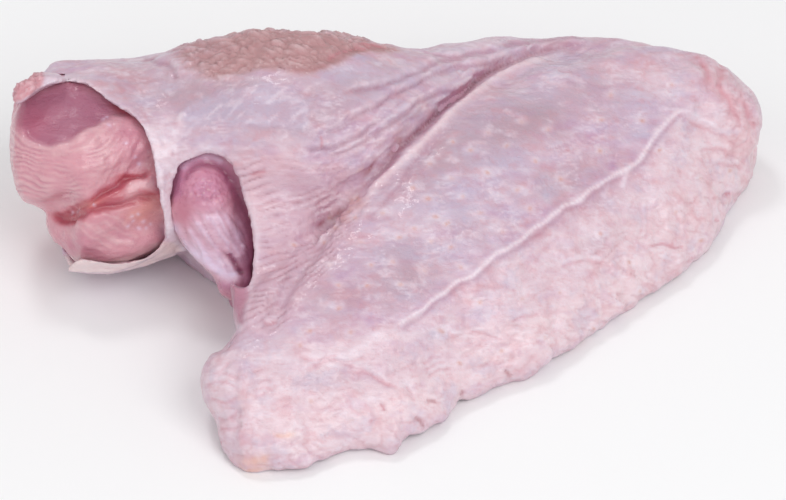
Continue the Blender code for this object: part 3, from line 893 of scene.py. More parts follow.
def dress(piece, material, node):
    """Gives the piece its finish, hangs it on the root body and hides the node's own part."""
    piece.data.materials.clear()
    piece.data.materials.append(material)
    piece.data.shade_smooth()
    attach(piece, "root")
    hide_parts(node)


def tan_patch_weight(skin):
    """The thick pebbly skin on the back: its front border from the photograph, the rest by size."""
    front = skin.inside(TAN_PATCH, 2.4)
    x, _, z = skin.points.T
    away = np.hypot((x + 30) / 30, (z - 54) / 32) + 0.22 * lumps(skin.points, 11, 84)
    behind = 1 - smooth_step(0.75, 1.05, away)
    return np.maximum(front, behind * (1 - skin.facing))


def round_the_arm(points):
    """How far along the upper arm each point is, and how far round it."""
    y, height = ARM_AXIS
    turn = np.arctan2(points[:, 2] - height, points[:, 1] - y)
    return np.column_stack([points[:, 0], turn * ARM_RADIUS])


def sheltered(skin, reach):
    """The share of directions in which skin or meat is this near to each point, from 0 to 1."""
    trees = [surface_tree(mesh) for mesh in (skin.piece.data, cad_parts["meat"].data)]
    turns = np.radians(np.arange(0, 360, 60))
    ways = [np.array((math.cos(a) * 0.8, math.sin(a) * 0.8, 0.6)) for a in turns]
    ways.append(np.array((0.0, 0.0, 1.0)))
    blocked = np.zeros(len(skin.points))
    helper = np.where(np.abs(skin.normals[:, 2:]) < 0.9, (0.0, 0.0, 1.0), (1.0, 0.0, 0.0))
    side = np.cross(skin.normals, helper)
    side /= np.linalg.norm(side, axis=1)[:, None]
    other = np.cross(skin.normals, side)
    starts = (skin.points + skin.normals * 0.4) * MM
    for way in ways:
        headings = side * way[0] + other * way[1] + skin.normals * way[2]
        for tree in trees:
            hits = [tree.ray_cast(start, heading, reach * MM)[0] is not None
                    for start, heading in zip(starts.tolist(), headings.tolist())]
            blocked += np.array(hits) * 0.7
    return np.clip(blocked / len(ways), 0, 1)


def rotation(turn):
    """Turns rows of picture places so that this direction comes to lie along the first axis."""
    turn = math.radians(turn)
    return np.array([[math.cos(turn), -math.sin(turn)], [math.sin(turn), math.cos(turn)]])


def plan_distance(points, line):
    """How far the points are from a smooth line on the table, seen from above."""
    track = smooth_line(line, 110)
    return np.min([np.hypot(points[:, 0] - x, points[:, 1] - y) for x, y in track], axis=0)


def shape_trailing_edge(skin):
    """Gives the thin edge that trails from elbow to wrist its uneven scallops."""
    near = np.exp(-((plan_distance(skin.points, TRAILING_EDGE) / 6) ** 2))
    near *= 1 - smooth_step(12, 24, skin.points[:, 2])
    flat = skin.points * (1, 1, 0.25)
    skin.lift(1.0, (lumps(flat, 8, 21) * 1.1 + lumps(flat, 3.4, 22) * 0.9) * near)


def shape_back_patch(skin, masks):
    """Gives the thick skin on the back its pebbles, in rows that wrap the arm."""
    waves = np.max([skin.stroke(line, 0.8) for line in TAN_PATCH_WAVES], axis=0)
    skin.lift(-0.6, waves)
    near = np.flatnonzero(masks["patch"] > 0.02)
    rows = round_the_arm(skin.points[near]) @ rotation(PEBBLE_TURN) * (0.33, 1)
    rows = np.column_stack([rows, np.zeros(len(rows))])
    rows = rows + np.stack([lumps(rows, 2.4, seed) for seed in (81, 82, 83)], axis=1) * 1.2
    borders = np.ones(len(skin.points))
    borders[near] = smooth_step(0.0, 0.5, cells(rows, 1.75, 8))
    swells = np.zeros(len(skin.points))
    swells[near] = lumps(rows, 4, 9)
    masks["patch lines"] = np.maximum(1 - borders, 0.8 * waves) * masks["patch"]
    skin.lift(-0.9, (1 - borders) * masks["patch"])
    skin.lift(0.7, swells * masks["patch"])


def shape_knob(skin, masks):
    """Gives the lump of fat at the shoulder its grains."""
    near = np.flatnonzero(masks["knob"] > 0.02)
    grains = np.zeros(len(skin.points))
    grains[near] = smooth_step(0.0, 0.5, cells(skin.points[near], 1.5, 19))
    masks["knob grains"] = grains * masks["knob"]
    skin.lift(0.9, masks["knob grains"])


def shape_skin(skin, settings):
    """Large folds first, then wrinkles, then the small unevenness."""
    skin.lift(settings.patch_height, tan_patch_weight(skin))
    for *spot, height in OUTLINE_BUMPS:
        skin.lift(height, skin.spot(*spot, edge=True))
    skin.ridges([CREASE], -settings.crease_depth, 0.9, taper=0.5, steady=True)
    skin.ridges([CREASE_TAIL], -0.5 * settings.crease_depth, 1.6)
    skin.ridges([FOREARM_ROLL], 1.0, 1.3, steady=True)
    skin.ridges([SECOND_FOLD], -0.5, 0.9)
    skin.ridges(ARM_FOLDS, -0.75, 0.75)
    skin.ridges(shifted(ARM_FOLDS, 0, -6), 0.5, 1.6)
    for hollow in CREASE_HOLLOWS:
        skin.lift(-0.8, skin.spot(*hollow))
    skin.ridges([TENDON], settings.tendon_height, 1.0, taper=0.03)
    skin.ridges([TENDON], -0.3, 2.4, taper=0.03)
    skin.ridges([TENDON_TAIL], 0.3, 1.6)
    skin.ridges(TENDON_BRANCHES, 0.3, 0.9)
    skin.ridges(ELBOW_FOLDS, -0.6, 1.1)
    skin.ridges(shifted(ELBOW_FOLDS, 6, 0), 0.3, 1.4)
    skin.ridges(BRIDGE_FOLDS, 0.5, 1.3)
    skin.lift(0.3, skin.inside(FASCIA_PATCH, 0.5))
    skin.ridges([WRIST_RIDGE], 0.8, 1.8)
    shape_trailing_edge(skin)
    skin.lift(0.45, lumps(skin.points, 11, 3))
    skin.lift(0.3, lumps(skin.points * (0.6, 1, 1), 5, 4))
    skin.settle()
    skin.relax(4)
    skin.blunt((MOUTH_RIM, WINDOW_RIM), RIM_WIDTH, 0.25)

    masks = {
        "patch": tan_patch_weight(skin),
        "web": skin.inside(WEB_AREA, 3),
        "lower skin": skin.inside(LOWER_SKIN, 5),
        "elbow": skin.inside(ELBOW_AREA, 3),
        "knob": skin.inside(FAT_KNOB, 0.6),
    }
    arm_side = skin.inside(ARM_SIDE, 2.5)
    skin.ridges(WRIST_FOLDS, -0.5, 0.8)
    skin.ridges(PLEATS, -0.3, 0.55)
    skin.ridges(NOTCHES + RED_LINES, -0.5, 0.6)
    wander = lumps(skin.places * (1, 2), 60, 5) * 0.9 + lumps(skin.places * (0.5, 1), 14, 6) * 0.55
    masks["fan"] = fan_heights(skin.places) / FAN_SPACING + wander
    masks["fan strength"] = np.clip(0.7 + lumps(skin.places, 22, 7) * 1.3, 0.1, 1.25)
    fan = furrows(masks["fan"], 1.8) * masks["web"] * masks["fan strength"]
    skin.lift(settings.wrinkle_depth, fan)
    pebbly = smooth_step(*PEBBLY_WEB, skin.places[:, 0])
    skin.lift(0.5, masks["web"] * lumps(skin.points, 1.7, 12) * pebbly)

    near_edge = np.exp(-((plan_distance(skin.points, TRAILING_EDGE) / 7) ** 2))
    areas = {
        "arm lines": arm_side,
        "lower lines": masks["lower skin"] * smooth_step(0.05, 0.45, lumps(skin.places, 45, 16)),
        "elbow lines": masks["elbow"],
        "edge lines": near_edge * skin.facing,
        "creases": skin.facing * (1 - masks["web"]),
    }
    for name, size, stretch, turn, seed, width, depth in THIN_LINES:
        masks[name] = along_zero(skin.wander(size, stretch, turn, seed), width) * areas[name]
        skin.lift(-depth, masks[name])
    skin.lift(0.6, lumps(skin.places @ rotation(ARM_TURN) * (0.45, 1), 10, 15) * arm_side)
    skin.lift(0.22, lumps(skin.points, 3, 18) * masks["lower skin"])
    shape_back_patch(skin, masks)
    shape_knob(skin, masks)
    skin.lift(0.4, lumps(skin.points, 2.4, 20) * skin.stroke(MOUTH_RIM, 1.6, taper=0))
    skin.lift(0.18, lumps(skin.points * (0.35, 1, 1), 2.2, 10))
    skin.lift(0.1, lumps(skin.points, 1.2, 11))
    skin.settle()
    skin.blunt((MOUTH_RIM, WINDOW_RIM), RIM_WIDTH, 0.22)
    return masks


def mix_tones(skin, tones, across, low, high):
    """Lays soft patches of other tones over the skin: colour, size, seed and share of each."""
    for colour, size, seed, share in tones:
        tint = lumps(skin.points * (across, 1, 1), size, seed)
        tint = tint + 0.4 * lumps(skin.points, size / 3, seed + 50)
        skin.paint(colour, smooth_step(low, high, tint) * share)


def paint_skin_tones(skin, settings, masks, ragged):
    """The broad tones of the skin, before its folds and edges."""
    mix_tones(skin, (
        (settings.lilac, 9, 31, 0.6), (settings.cream, 7, 32, 0.5), (settings.blush, 4.5, 33, 0.35),
        (settings.pale, 3.2, 38, 0.4), (settings.bruise, 5.5, 39, 0.25), (settings.blue, 6, 40, 0.4),
    ), 0.5, 0.05, 0.75)
    skin.dab(settings.cream, WARM_PATCHES, 0.5)
    skin.dab(settings.blue, BLUE_SHEENS, 0.7)
    skin.dab(settings.pale, PALE_PATCHES, 0.65 * ragged)
    streak = lumps(skin.places * (0.22, 1), 9, 34)
    skin.paint(settings.pale, smooth_step(0.15, 0.6, streak) * 0.35 * skin.facing)
    streak = lumps(skin.places * (0.2, 1), 7, 35)
    skin.paint(settings.bruise, smooth_step(0.15, 0.7, streak) * 0.3 * skin.facing)
    skin.dab(settings.bruise, BRUISES, 0.55 * ragged)
    skin.dab(settings.blush, BLUSHES, 0.7 * ragged)

    skin.paint(settings.cream, masks["lower skin"] * 0.5)
    # Painted light and painted shade, mixed with the skin's own paler and greyer tones.
    for *spot, share in PALER_AND_LIT:
        skin.dab(settings.cream, [spot], share, edge=True)
    for *spot, share in GREYED_AND_SHADED:
        skin.dab(settings.grey, [spot], share)
    mix_tones(skin, (
        (settings.pale, 3.4, 71, 0.5), (settings.blush, 3.0, 72, 0.3), (settings.blue, 5, 73, 0.35),
        (settings.bruise, 3.8, 74, 0.22),
    ), 0.55, 0.15, 0.7)
    fascia = skin.inside(FASCIA_PATCH, 1.2)
    skin.paint(settings.blue, fascia * 0.5)
    threads = smooth_step(0.15, 0.6, skin.wander(5, 4, -42, 36))
    skin.paint(settings.pale, threads * fascia * 0.45)


def paint_back_patch(skin, settings, masks):
    """The drier, browner skin on the back, fading toward the shoulder, with painted shade and highlights.
    """
    masks["patch"] = masks["patch"] * (0.3 + 0.7 * smooth_step(*PATCH_FADE, skin.drawn[:, 0]))
    skin.paint(settings.tan, masks["patch"] * 0.75)
    skin.wetness -= 0.5 * masks["patch"]
    tint = lumps(skin.points, 3.2, 37)
    skin.paint(settings.tan_deep_and_shade, smooth_step(0.0, 0.7, tint) * masks["patch"] * 0.35)
    # Painted shade in the borders between the pebbles.
    skin.paint(settings.tan_deep_and_shade, masks["patch lines"] * 0.65)
    # Painted highlights on the pebbles' crests.
    pale_lit_crests = masks["patch"] - masks["patch lines"]
    skin.paint(settings.cream, smooth_step(0.2, 0.7, tint) * pale_lit_crests * 0.35)
    # Painted shade under the patch's hem.
    skin.trace(settings.tan_deep_and_shade, [TAN_PATCH_HEM], 0.8, 0.7)


def paint_folds(skin, settings, ragged):
    """The fold between the arms, the tendon, the small folds and the rims, with painted shade and
    highlights.
    """
    # Painted shade in each fold of the upper arm, and a painted highlight on the ridge above it.
    for line in ARM_FOLDS:
        skin.trace(settings.wrinkle, [line], 0.6, 0.5)
        skin.trace(settings.pale, shifted([line], 0, -6), 1.1, 0.35 * ragged)
    # Painted shade along the fold between the arms: a wide soft band and a narrow dark line.
    skin.trace(settings.wrinkle, [CREASE], 1.1, 0.3, taper=0.4, steady=True)
    skin.trace(settings.crease_shade, [CREASE], 0.65, 0.85, taper=0.4, steady=True)
    # Painted shade in the second fold.
    skin.trace(settings.wrinkle, [SECOND_FOLD], 0.7, 0.4)
    # Painted highlight on the forearm's rolled edge beside the fold.
    skin.trace(settings.cream, [FOREARM_ROLL], 1.1, 0.7, steady=True)
    # Painted shade in the small hollows of the fold, with their own red-brown.
    for x, y, long, wide, turn in CREASE_HOLLOWS:
        skin.dab(settings.wrinkle, [(x, y, long, wide, turn)], 0.6)
        skin.dab(settings.notch_red_and_shade, [(x, y, long * 0.7, wide * 0.4, turn)], 0.6)
    # The tendon: painted shade in a purple band round it and a dark line on its lower right side, then its
    # own whitish line, which is also a painted highlight.
    skin.trace(settings.bruise, [TENDON], 2.6, 0.3 * ragged, taper=0.03)
    skin.trace(settings.wrinkle, shifted([TENDON], 3, 4), 0.7, 0.3, taper=0.03)
    skin.trace(settings.sinew, [TENDON], 0.8, 0.85, taper=0.03)
    skin.trace(settings.pale, [TENDON_TAIL], 1.2, 0.6)
    skin.trace(settings.pale, TENDON_BRANCHES, 0.8, 0.7)
    for line in ELBOW_FOLDS:
        skin.trace(settings.blush, [line], 1.3, 0.5 * ragged)
        skin.trace(settings.red_line, [line], 0.8, 0.2)
    skin.trace(settings.pale, BRIDGE_FOLDS, 1.8, 0.7 * ragged)
    # Small folds at the wrist and pleats: a reddish line in each, and a painted highlight just above it.
    for line in WRIST_FOLDS + PLEATS:
        skin.trace(settings.red_line, [line], 0.45, 0.24)
        skin.trace(settings.pale, shifted([line], 0, -4), 0.8, 0.4)
    # Painted shade in the small cuts, in their own red-brown.
    skin.trace(settings.notch_red_and_shade, NOTCHES, 0.5, 0.4)
    skin.trace(settings.red_line, RED_LINES, 0.4, 0.45)
    skin.trace(settings.pale, [WINDOW_RIM], 1.6, 0.6, taper=0)
    skin.trace(settings.pale, [MOUTH_RIM], 1.2, 0.6, taper=0)


def paint_skin(skin, settings, masks):
    """The broad tones first, then the web, the back, the folds, the fat and the pores."""
    ragged = np.clip(0.75 + lumps(skin.points, 2.2, 41) * 1.1, 0.1, 1.3)
    paint_skin_tones(skin, settings, masks, ragged)
    skin.paint(settings.web_pink, masks["web"] * 0.5)
    # Painted shade in the valleys of the web's wrinkles, with a reddish line in each.
    valley = -furrows(masks["fan"], 2.6) * masks["web"] * masks["fan strength"]
    skin.paint(settings.wrinkle, valley * 0.3)
    skin.paint(settings.red_line, valley * 0.16)
    skin.dab(settings.pore, OCHRE_SPOTS, 0.45 * ragged)
    skin.paint(settings.bruise, masks["arm lines"] * 0.35)
    for name, share in (
        ("lower lines", 0.22), ("elbow", 0.15 * ragged), ("elbow lines", 0.2), ("edge lines", 0.25),
        ("creases", 0.16 * ragged),
    ):
        skin.paint(settings.blush, masks[name] * share)
    # Painted highlights: thin pale streaks over the skin that faces the camera.
    gleams = along_zero(skin.wander(5, 4.5, -6, 61), 0.12) * skin.facing
    skin.paint(settings.pale, gleams * 0.45 * smooth_step(-0.1, 0.4, lumps(skin.places, 26, 62)))
    paint_back_patch(skin, settings, masks)
    paint_folds(skin, settings, ragged)

    skin.dab(settings.fat, ORANGE_FAT, 0.7 * ragged)
    skin.paint(settings.fat_cream, skin.inside(CREAM_STRIP, 0.8) * 0.7)
    # Painted shade along the strip's edge under the lobe, in the colour of the skin's inner side.
    skin.trace(settings.membrane_and_shade, [STRIP_EDGE], 1.3, 0.2, taper=0)
    skin.paint(settings.knob, masks["knob"] * 0.9)
    skin.paint(settings.cream, masks["knob grains"] * 0.5)
    for index, (x, y) in enumerate(PORES):
        strength = 0.25 + 0.5 * abs(math.sin(index * 2.4))
        skin.dab(settings.pale, [(x, y, 6, 3.6)], 0.55)
        skin.dab(settings.pore, [(x + 1, y + 1, 2.2, 1.8)], strength)
    # Painted shade in crevices and pockets, where skin or meat stands near on many sides, in the colour of
    # the skin's inner side.
    shelter = sheltered(skin, 22)
    skin.paint(settings.membrane_and_shade, smooth_step(0.45, 0.85, shelter) * 0.85)
    skin.paint(settings.pink, skin.inside(UNDER_STRIP, 1.0) * 0.15)
    skin.paint(settings.membrane_deep, skin.inside(UNDER_EDGE, 0.8) * 0.6)
    skin.trace(settings.pale, [WINDOW_EDGE], 1.5, 0.85, taper=0)
    skin.paint(settings.membrane_deep, skin.inside(WEB_FOOT, 1.0) * 0.75)


def make_skin(settings):
    """Builds, shapes and paints the skin, with fewer faces where it is hidden."""
    piece = fine_copy("skin", "wing_skin", settings.fineness, 14)
    edges = edges_of(piece.data)
    inner = shrunk(beside_node(piece, "meat", 1.0), edges, 6)
    normals = read(piece.data, "normal")
    under = shrunk((read(piece.data, "co")[:, 2] < 0.8 * MM) & (normals[:, 2] < -0.7), edges, 3)
    thin_hidden(piece, inner | under, 0.05)
    away = read(piece.data, "normal") @ -FORWARD < -0.05
    thin_hidden(piece, shrunk(away, edges_of(piece.data), 2), 0.16)
    skin = Surface(piece, settings.pink)
    masks = shape_skin(skin, settings)
    paint_skin(skin, settings, masks)
    skin.keep_colour()
    material = tissue_material(
        "raw skin",
        settings.blush,
        mottle={"Size": 420.0, "Stretch": 2.2, "Amount": 0.22},
        grain={"Size": 1100.0, "Stretch": 1.6, "Depth": 0.2, "Crinkle": 0.4},
        sheen={"Wet": 0.18, "Dry": 0.5, "Size": 180.0},
        subsurface=0.05,
        coat=0.25,
    )
    dress(piece, material, "skin")


def shape_meat(meat, settings):
    """The hollows and folds between the muscles first, then their fibres and bubbles."""
    meat.melt(np.clip(meat.spot(*LOBE_SEAM) * 2, 0, 1), 90)
    meat.lift(0.4, 1)
    meat.ridges([CREASE], -3.5, 3.0, taper=0, steady=True)
    meat.ridges([WINDOW_SHADE], -0.8, 2.6, taper=0, steady=True)
    hollow = meat.inside(LOBE_HOLLOW, 2.5)
    meat.lift(-1.2, hollow)
    meat.lift(0.6, meat.inside(FASCIA_BAND, 1.0))
    for lines, height, width in (
        ([HOLLOW_RIM], 0.7, 1.2), ([SECOND_RIM], 0.35, 1.0), ([LOBE_FOLD], -1.5, 1.2),
        ([UPPER_FOLD], -1.4, 1.0), (LOWER_LINES, 0.25, 0.7), (WINDOW_PLEATS, 0.4, 0.9),
        ([WINDOW_SLIT], -1.4, 0.9), ([WINDOW_FAT], 0.6, 1.6),
    ):
        meat.ridges(lines, height, width)
    meat.ridges([UNDER_LIP], -0.5, 0.8, steady=True)
    meat.lift(0.5, lumps(meat.points, 6, 44))
    meat.settle()

    x, y = meat.places.T
    away = np.linalg.norm((meat.places - FIBRE_CENTRE) * (0.85, 1), axis=1)
    rings = away / 5 + lumps(meat.places, 24, 41) * 1.1 + lumps(meat.places, 8, 45) * 0.35
    lobe = smooth_step(*FIBRE_START, away) * (y > FIBRE_TOP)
    lobe = lobe * (1 - smooth_step(*FIBRE_RIGHT, x)) * smooth_step(*FIBRE_BOTTOM, y)
    uneven = np.clip(0.6 + lumps(meat.places, 18, 46) * 1.2, 0.05, 1.2)
    fibres = furrows(rings, 1.3) * lobe * meat.facing * uneven
    meat.lift(settings.fibre_depth, fibres)
    slanting = smooth_step(-0.5, 0.5, meat.wander(6, 3.5, -60, 47)) * meat.inside(RIGHT_FIBRES, 2.0)
    meat.lift(0.45, slanting)
    bubbles = cells(meat.points, BUBBLE_SIZE, 42) + lumps(meat.points, 0.9, 49) * 0.6
    meat.lift(1.2, meat.spot(*BUBBLES) * bubbles)
    meat.lift(0.35, lumps(meat.points, 2.6, 50) * meat.spot(*WINDOW_DOME))
    pleats = along_zero(meat.wander(7, 4, 55, 48), 0.25) * meat.inside(WINDOW_SHEATH, 1.5)
    meat.lift(-0.4, pleats)
    meat.lift(0.2, lumps(meat.points * (0.4, 1, 1), 1.8, 43) * (1 - 0.6 * hollow))
    meat.settle()
    # Crests of the fibres, which are painted pale as highlights.
    pale_lit_crests = smooth_step(0.5, 1, np.abs(np.sin(math.pi * rings))) * lobe * meat.facing * uneven
    return {"hollow": hollow, "fibres": fibres, "pale_lit_crests": pale_lit_crests, "right": slanting, "pleats": pleats}


def paint_meat(meat, settings, masks):
    """The lobes in the mouth first, then the muscle in the window."""
    tint = lumps(meat.points, 7, 51)
    meat.paint(settings.deep, smooth_step(0.0, 0.7, tint) * 0.25)
    threads = lumps(meat.points * (0.3, 1, 1), 1.6, 52)
    meat.paint(settings.pale, smooth_step(0.1, 0.6, threads) * 0.3)
    meat.wetness -= 0.85 * masks["hollow"]
    # Painted shade in the hollow under the skin's edge.
    meat.paint(settings.lilac, masks["hollow"] * 0.9)
    meat.dab(settings.crimson, [HOLLOW_LEFT], 0.6)
    meat.dab(settings.lilac, [HOLLOW_TOP_SHADE], 0.8)
    # Painted shade in the grooves between the fibres, and painted highlights on their crests.
    meat.paint(settings.deep, -masks["fibres"] * 0.3)
    meat.paint(settings.pale, masks["pale_lit_crests"] * 0.5)
    meat.trace(settings.pale, [HOLLOW_RIM], 1.0, 0.6)
    meat.trace(settings.pale, [SECOND_RIM], 0.9, 0.55)
    meat.paint(settings.pale, masks["right"] * 0.3)
    meat.dab(settings.pale, [LOBE_GLEAM], 0.3)
    # Painted light on the lobe's corner by the hollow.
    meat.dab(settings.pale, [LIT_LOBE_CORNER], 0.45)
    meat.dab(settings.deep, [LOBE_RIGHT], 0.45)
    meat.paint(settings.red, meat.inside(RED_FOLD, 1.2) * 0.5)
    meat.trace(settings.red, [LOBE_FOLD], 1.4, 0.8)
    meat.trace(settings.red, [UPPER_FOLD], 1.3, 0.8)
    meat.paint(settings.pale, meat.inside(FASCIA_BAND, 0.8) * 0.6)
    meat.dab(settings.red, RED_STREAKS, 0.8)
    meat.dab(settings.orange, ORANGE_MEAT, 0.6)
    meat.trace(settings.pale, LOWER_LINES, 0.5, 0.5)
    meat.paint(settings.fat_cream, meat.inside(CREAM_STRIP, 1.0) * 0.8)
    # Painted light on the strip where it lies in the lobe's shadow.
    meat.dab(settings.pale, [STRIP_GLEAM], 0.5)
    meat.dab(settings.wall, [WINDOW_FOOT], 0.7)
    meat.dab(settings.deep, [LOWER_SHADE], 0.5)

    dome = meat.spot(*WINDOW_DOME)
    meat.paint(settings.mauve, dome * 0.8)
    specks = smooth_step(0.15, 0.5, lumps(meat.points, 1.1, 54)) * dome
    meat.paint(settings.crimson, specks * 0.4)
    meat.dab(settings.crimson, [WINDOW_REDDENED], 0.4)
    meat.dab(settings.wall, [WINDOW_WALL], 0.8)
    meat.trace(settings.wall, [WINDOW_SHADE], 2.2, 0.7, taper=0)
    meat.paint(settings.fascia, meat.inside(WINDOW_SHEATH, 3) * 0.5)
    # Painted shade in the pleats' grooves.
    meat.paint(settings.deep, masks["pleats"] * 0.22)
    bubbly = meat.spot(*BUBBLES)
    # Painted highlights on the bubbles.
    froth_highlights = smooth_step(0.25, 0.7, cells(meat.points, BUBBLE_SIZE, 42)) * bubbly
    meat.paint(settings.pale, froth_highlights * 0.7)
    meat.paint(settings.crimson, smooth_step(0.1, 0.6, lumps(meat.points, 1.6, 53)) * bubbly * 0.5)
    meat.trace(settings.fascia, WINDOW_PLEATS, 0.7, 0.5)
    meat.trace(settings.fascia, [WINDOW_FAT], 2.4, 0.9, taper=0)
    # Painted shade in the slit, along the window's right gap and under its lip, in a dark red.
    meat.trace(settings.gap_shade, [WINDOW_SLIT], 0.8, 0.8)
    meat.trace(settings.gap_shade, [WINDOW_DARK], 1.6, 0.5, taper=0)
    meat.trace(settings.fascia, [WINDOW_LIP], 1.1, 0.5, steady=True)
    meat.trace(settings.gap_shade, [UNDER_LIP], 0.7, 0.6, steady=True)
    meat.dab(settings.fascia, [(x, y, 2.0, 1.6) for x, y in WHITE_GLINTS], 0.7)


def softened(piece, rounds):
    """Rounds off what is left of the seams between the melted bodies."""
    edges = edges_of(piece.data)
    points = evened(read(piece.data, "co"), edges, rounds, keep=0.42)
    piece.data.vertices.foreach_set("co", points.astype(np.float32).ravel())
    piece.data.update()


def make_meat(settings):
    """Builds, shapes and paints the meat, with fewer faces where it is hidden."""
    piece = fine_copy("meat", "wing_meat", settings.fineness, 8)
    edges = edges_of(piece.data)
    inner = beside_node(piece, "skin", 1.2)
    softened(piece, 24)
    thin_hidden(piece, shrunk(inner, edges, 12), 0.06)
    meat = Surface(piece, settings.flesh)
    masks = shape_meat(meat, settings)
    paint_meat(meat, settings, masks)
    meat.keep_colour()
    material = tissue_material(
        "raw meat",
        settings.deep,
        mottle={"Size": 500.0, "Stretch": 2.6, "Amount": 0.25},
        grain={"Size": 1200.0, "Stretch": 2.0, "Depth": 0.2, "Crinkle": 0.3},
        sheen={"Wet": 0.14, "Dry": 0.5, "Size": 240.0},
        subsurface=0.15,
        coat=0.45,
    )
    dress(piece, material, "meat")


def area_light(name, place, size, power):
    """A soft square light that faces the wing."""
    light = bpy.data.lights.new(name, "AREA")
    light.shape = "SQUARE"
    light.size = size
    light.energy = power
    lamp = bpy.data.objects.new(name, light)
    lamp.location = place
    lamp.rotation_euler = (Vector((0, 0, 0.02)) - Vector(place)).to_track_quat("-Z", "Y").to_euler()
    bpy.context.scene.collection.objects.link(lamp)


def make_stage(settings):
    """Sets the pale floor, the light and the camera."""
    scene = bpy.context.scene
    mesh = bpy.data.meshes.new("floor")
    half = settings.floor_width / 2
    corners = [(-half, -half, 0), (half, -half, 0), (half, half, 0), (-half, half, 0)]
    mesh.from_pydata(corners, [], [(0, 1, 2, 3)])
    floor = bpy.data.objects.new("floor", mesh)
    scene.collection.objects.link(floor)
    pale = bpy.data.materials.new("pale floor")
    pale.use_nodes = True
    shader = pale.node_tree.nodes["Principled BSDF"]
    shader.inputs["Base Color"].default_value = (*linear(settings.floor_colour), 1)
    shader.inputs["Roughness"].default_value = 0.7
    mesh.materials.append(pale)

    world = bpy.data.worlds.new("studio")
    world.use_nodes = True
    backdrop = world.node_tree.nodes["Background"]
    backdrop.inputs["Color"].default_value = (1, 1, 1, 1)
    backdrop.inputs["Strength"].default_value = settings.ambient
    scene.world = world
    for name, place, size, share in LIGHTS:
        area_light(name, place, size, settings.light_power * share)

    camera = bpy.data.objects.new("camera", bpy.data.cameras.new("camera"))
    camera.data.sensor_width = SENSOR_WIDTH
    camera.data.lens = SENSOR_WIDTH * PIXELS_PER_MM * CAMERA_DISTANCE / PICTURE[0]
    camera.data.clip_start, camera.data.clip_end = CLIP
    camera.location = Vector(CAMERA_PLACE * MM)
    camera.rotation_euler = (math.pi / 2 - LOOK_DOWN, 0, 0)
    scene.collection.objects.link(camera)
    scene.camera = camera
    scene.view_settings.view_transform = "Standard"
    scene.cycles.use_denoising = True


def colour_setting(name, description, default):
    """A colour as pickers show it."""
    return FloatVectorProperty(
        name=name, description=description, default=default, subtype="COLOR_GAMMA", size=3,
        min=0, max=1,
    )


def size_setting(name, description, default):
    """A length in millimetres."""
    return FloatProperty(
        name=name, description=description + ", in millimetres", default=default, min=0,
        soft_max=5, precision=2,
    )


class WingSkinSettings(PropertyGroup):
    """Sizes and colours of the skin"""

    fineness: size_setting("Fineness", "Size of the skin's small faces", 0.66)
    patch_height: size_setting("Back Patch Height", "How far the pebbly back skin stands up", 0.7)
    crease_depth: size_setting("Crease Depth", "Depth of the fold between the arms", 2.6)
    tendon_height: size_setting("Tendon Height", "How far the tendon stands up", 0.65)
    wrinkle_depth: size_setting("Wrinkle Depth", "Depth of the web's wrinkles", 0.55)
    pink: colour_setting("Pink", "Main colour of the skin", rgb(205, 178, 194))
    lilac: colour_setting("Lilac", "Cool streaks", rgb(201, 176, 200))
    blue: colour_setting("Blue", "Blue-grey skin over the flat muscle", rgb(192, 182, 206))
    # Cream: warm pale skin, also painted as light where the skin turns from the lamps, on the forearm's
    # rolled edge and on the back patch's crests.
    cream: colour_setting("Cream", "Warm pale skin", rgb(238, 215, 221))
    # Pale: fat and stretched skin, also painted as highlights beside folds, along the tendon and in thin
    # streaks.
    pale: colour_setting("Pale", "Fat and stretched skin", rgb(234, 219, 230))
    # Sinew: the tendon's whitish line, which also stands for a painted highlight along its ridge.
    sinew: colour_setting("Sinew", "The tendon under the forearm's skin", rgb(240, 226, 234))
    # Grey: the skin's greyer tone, also painted as shade on the upper arm and forearm.
    grey: colour_setting("Grey", "Skin that lies slack in the shade", rgb(180, 152, 166))
    blush: colour_setting("Blush", "Reddish blotches", rgb(205, 145, 155))
    # Bruise: purple blotches, also painted as shade in a band round the tendon.
    bruise: colour_setting("Bruise", "Purple blotches", rgb(186, 146, 178))
    web_pink: colour_setting("Web Pink", "The web between the arms", rgb(212, 174, 188))
    # Wrinkle: painted shade at the bottom of the folds.
    wrinkle: colour_setting("Wrinkle", "Bottom of the folds", rgb(165, 118, 138))
    # Crease: painted shade along the fold between the arms.
    crease_shade: colour_setting("Crease", "The fold between the arms", rgb(128, 70, 86))
    tan: colour_setting("Tan", "Thick skin on the back", rgb(207, 171, 170))
    # Tan Deep: the deeper tan of the back skin, also painted as shade in its hollows and under its hem.
    tan_deep_and_shade: colour_setting("Tan Deep", "Hollows of the back skin", rgb(170, 120, 122))
    # Notch: the red-brown of the small cuts and the crease's hollows, standing partly for their own colour
    # and partly for painted shade in them.
    notch_red_and_shade: colour_setting("Notch", "Small cuts", rgb(150, 78, 84))
    red_line: colour_setting("Red Line", "Fine reddish folds", rgb(196, 112, 126))
    pore: colour_setting("Pore", "Feather pores", rgb(208, 150, 140))
    fat: colour_setting("Fat", "Orange fat", rgb(236, 182, 158))
    # Cream Fat: the fat along the cut, paler than the meat's cream fat because it also stands for painted
    # light on the shaded strip.
    fat_cream: colour_setting("Cream Fat", "Fat along the cut", rgb(250, 232, 226))
    knob: colour_setting("Fat Knob", "Lump of fat at the shoulder", rgb(208, 140, 150))
    # Membrane: the inner side of the skin, also painted as shade in crevices, pockets and along the
    # strip's edge.
    membrane_and_shade: colour_setting("Membrane", "Inner side of the skin", rgb(190, 130, 155))
    membrane_deep: colour_setting("Dark Membrane", "Foot of the web, under the window", rgb(180, 116, 140))


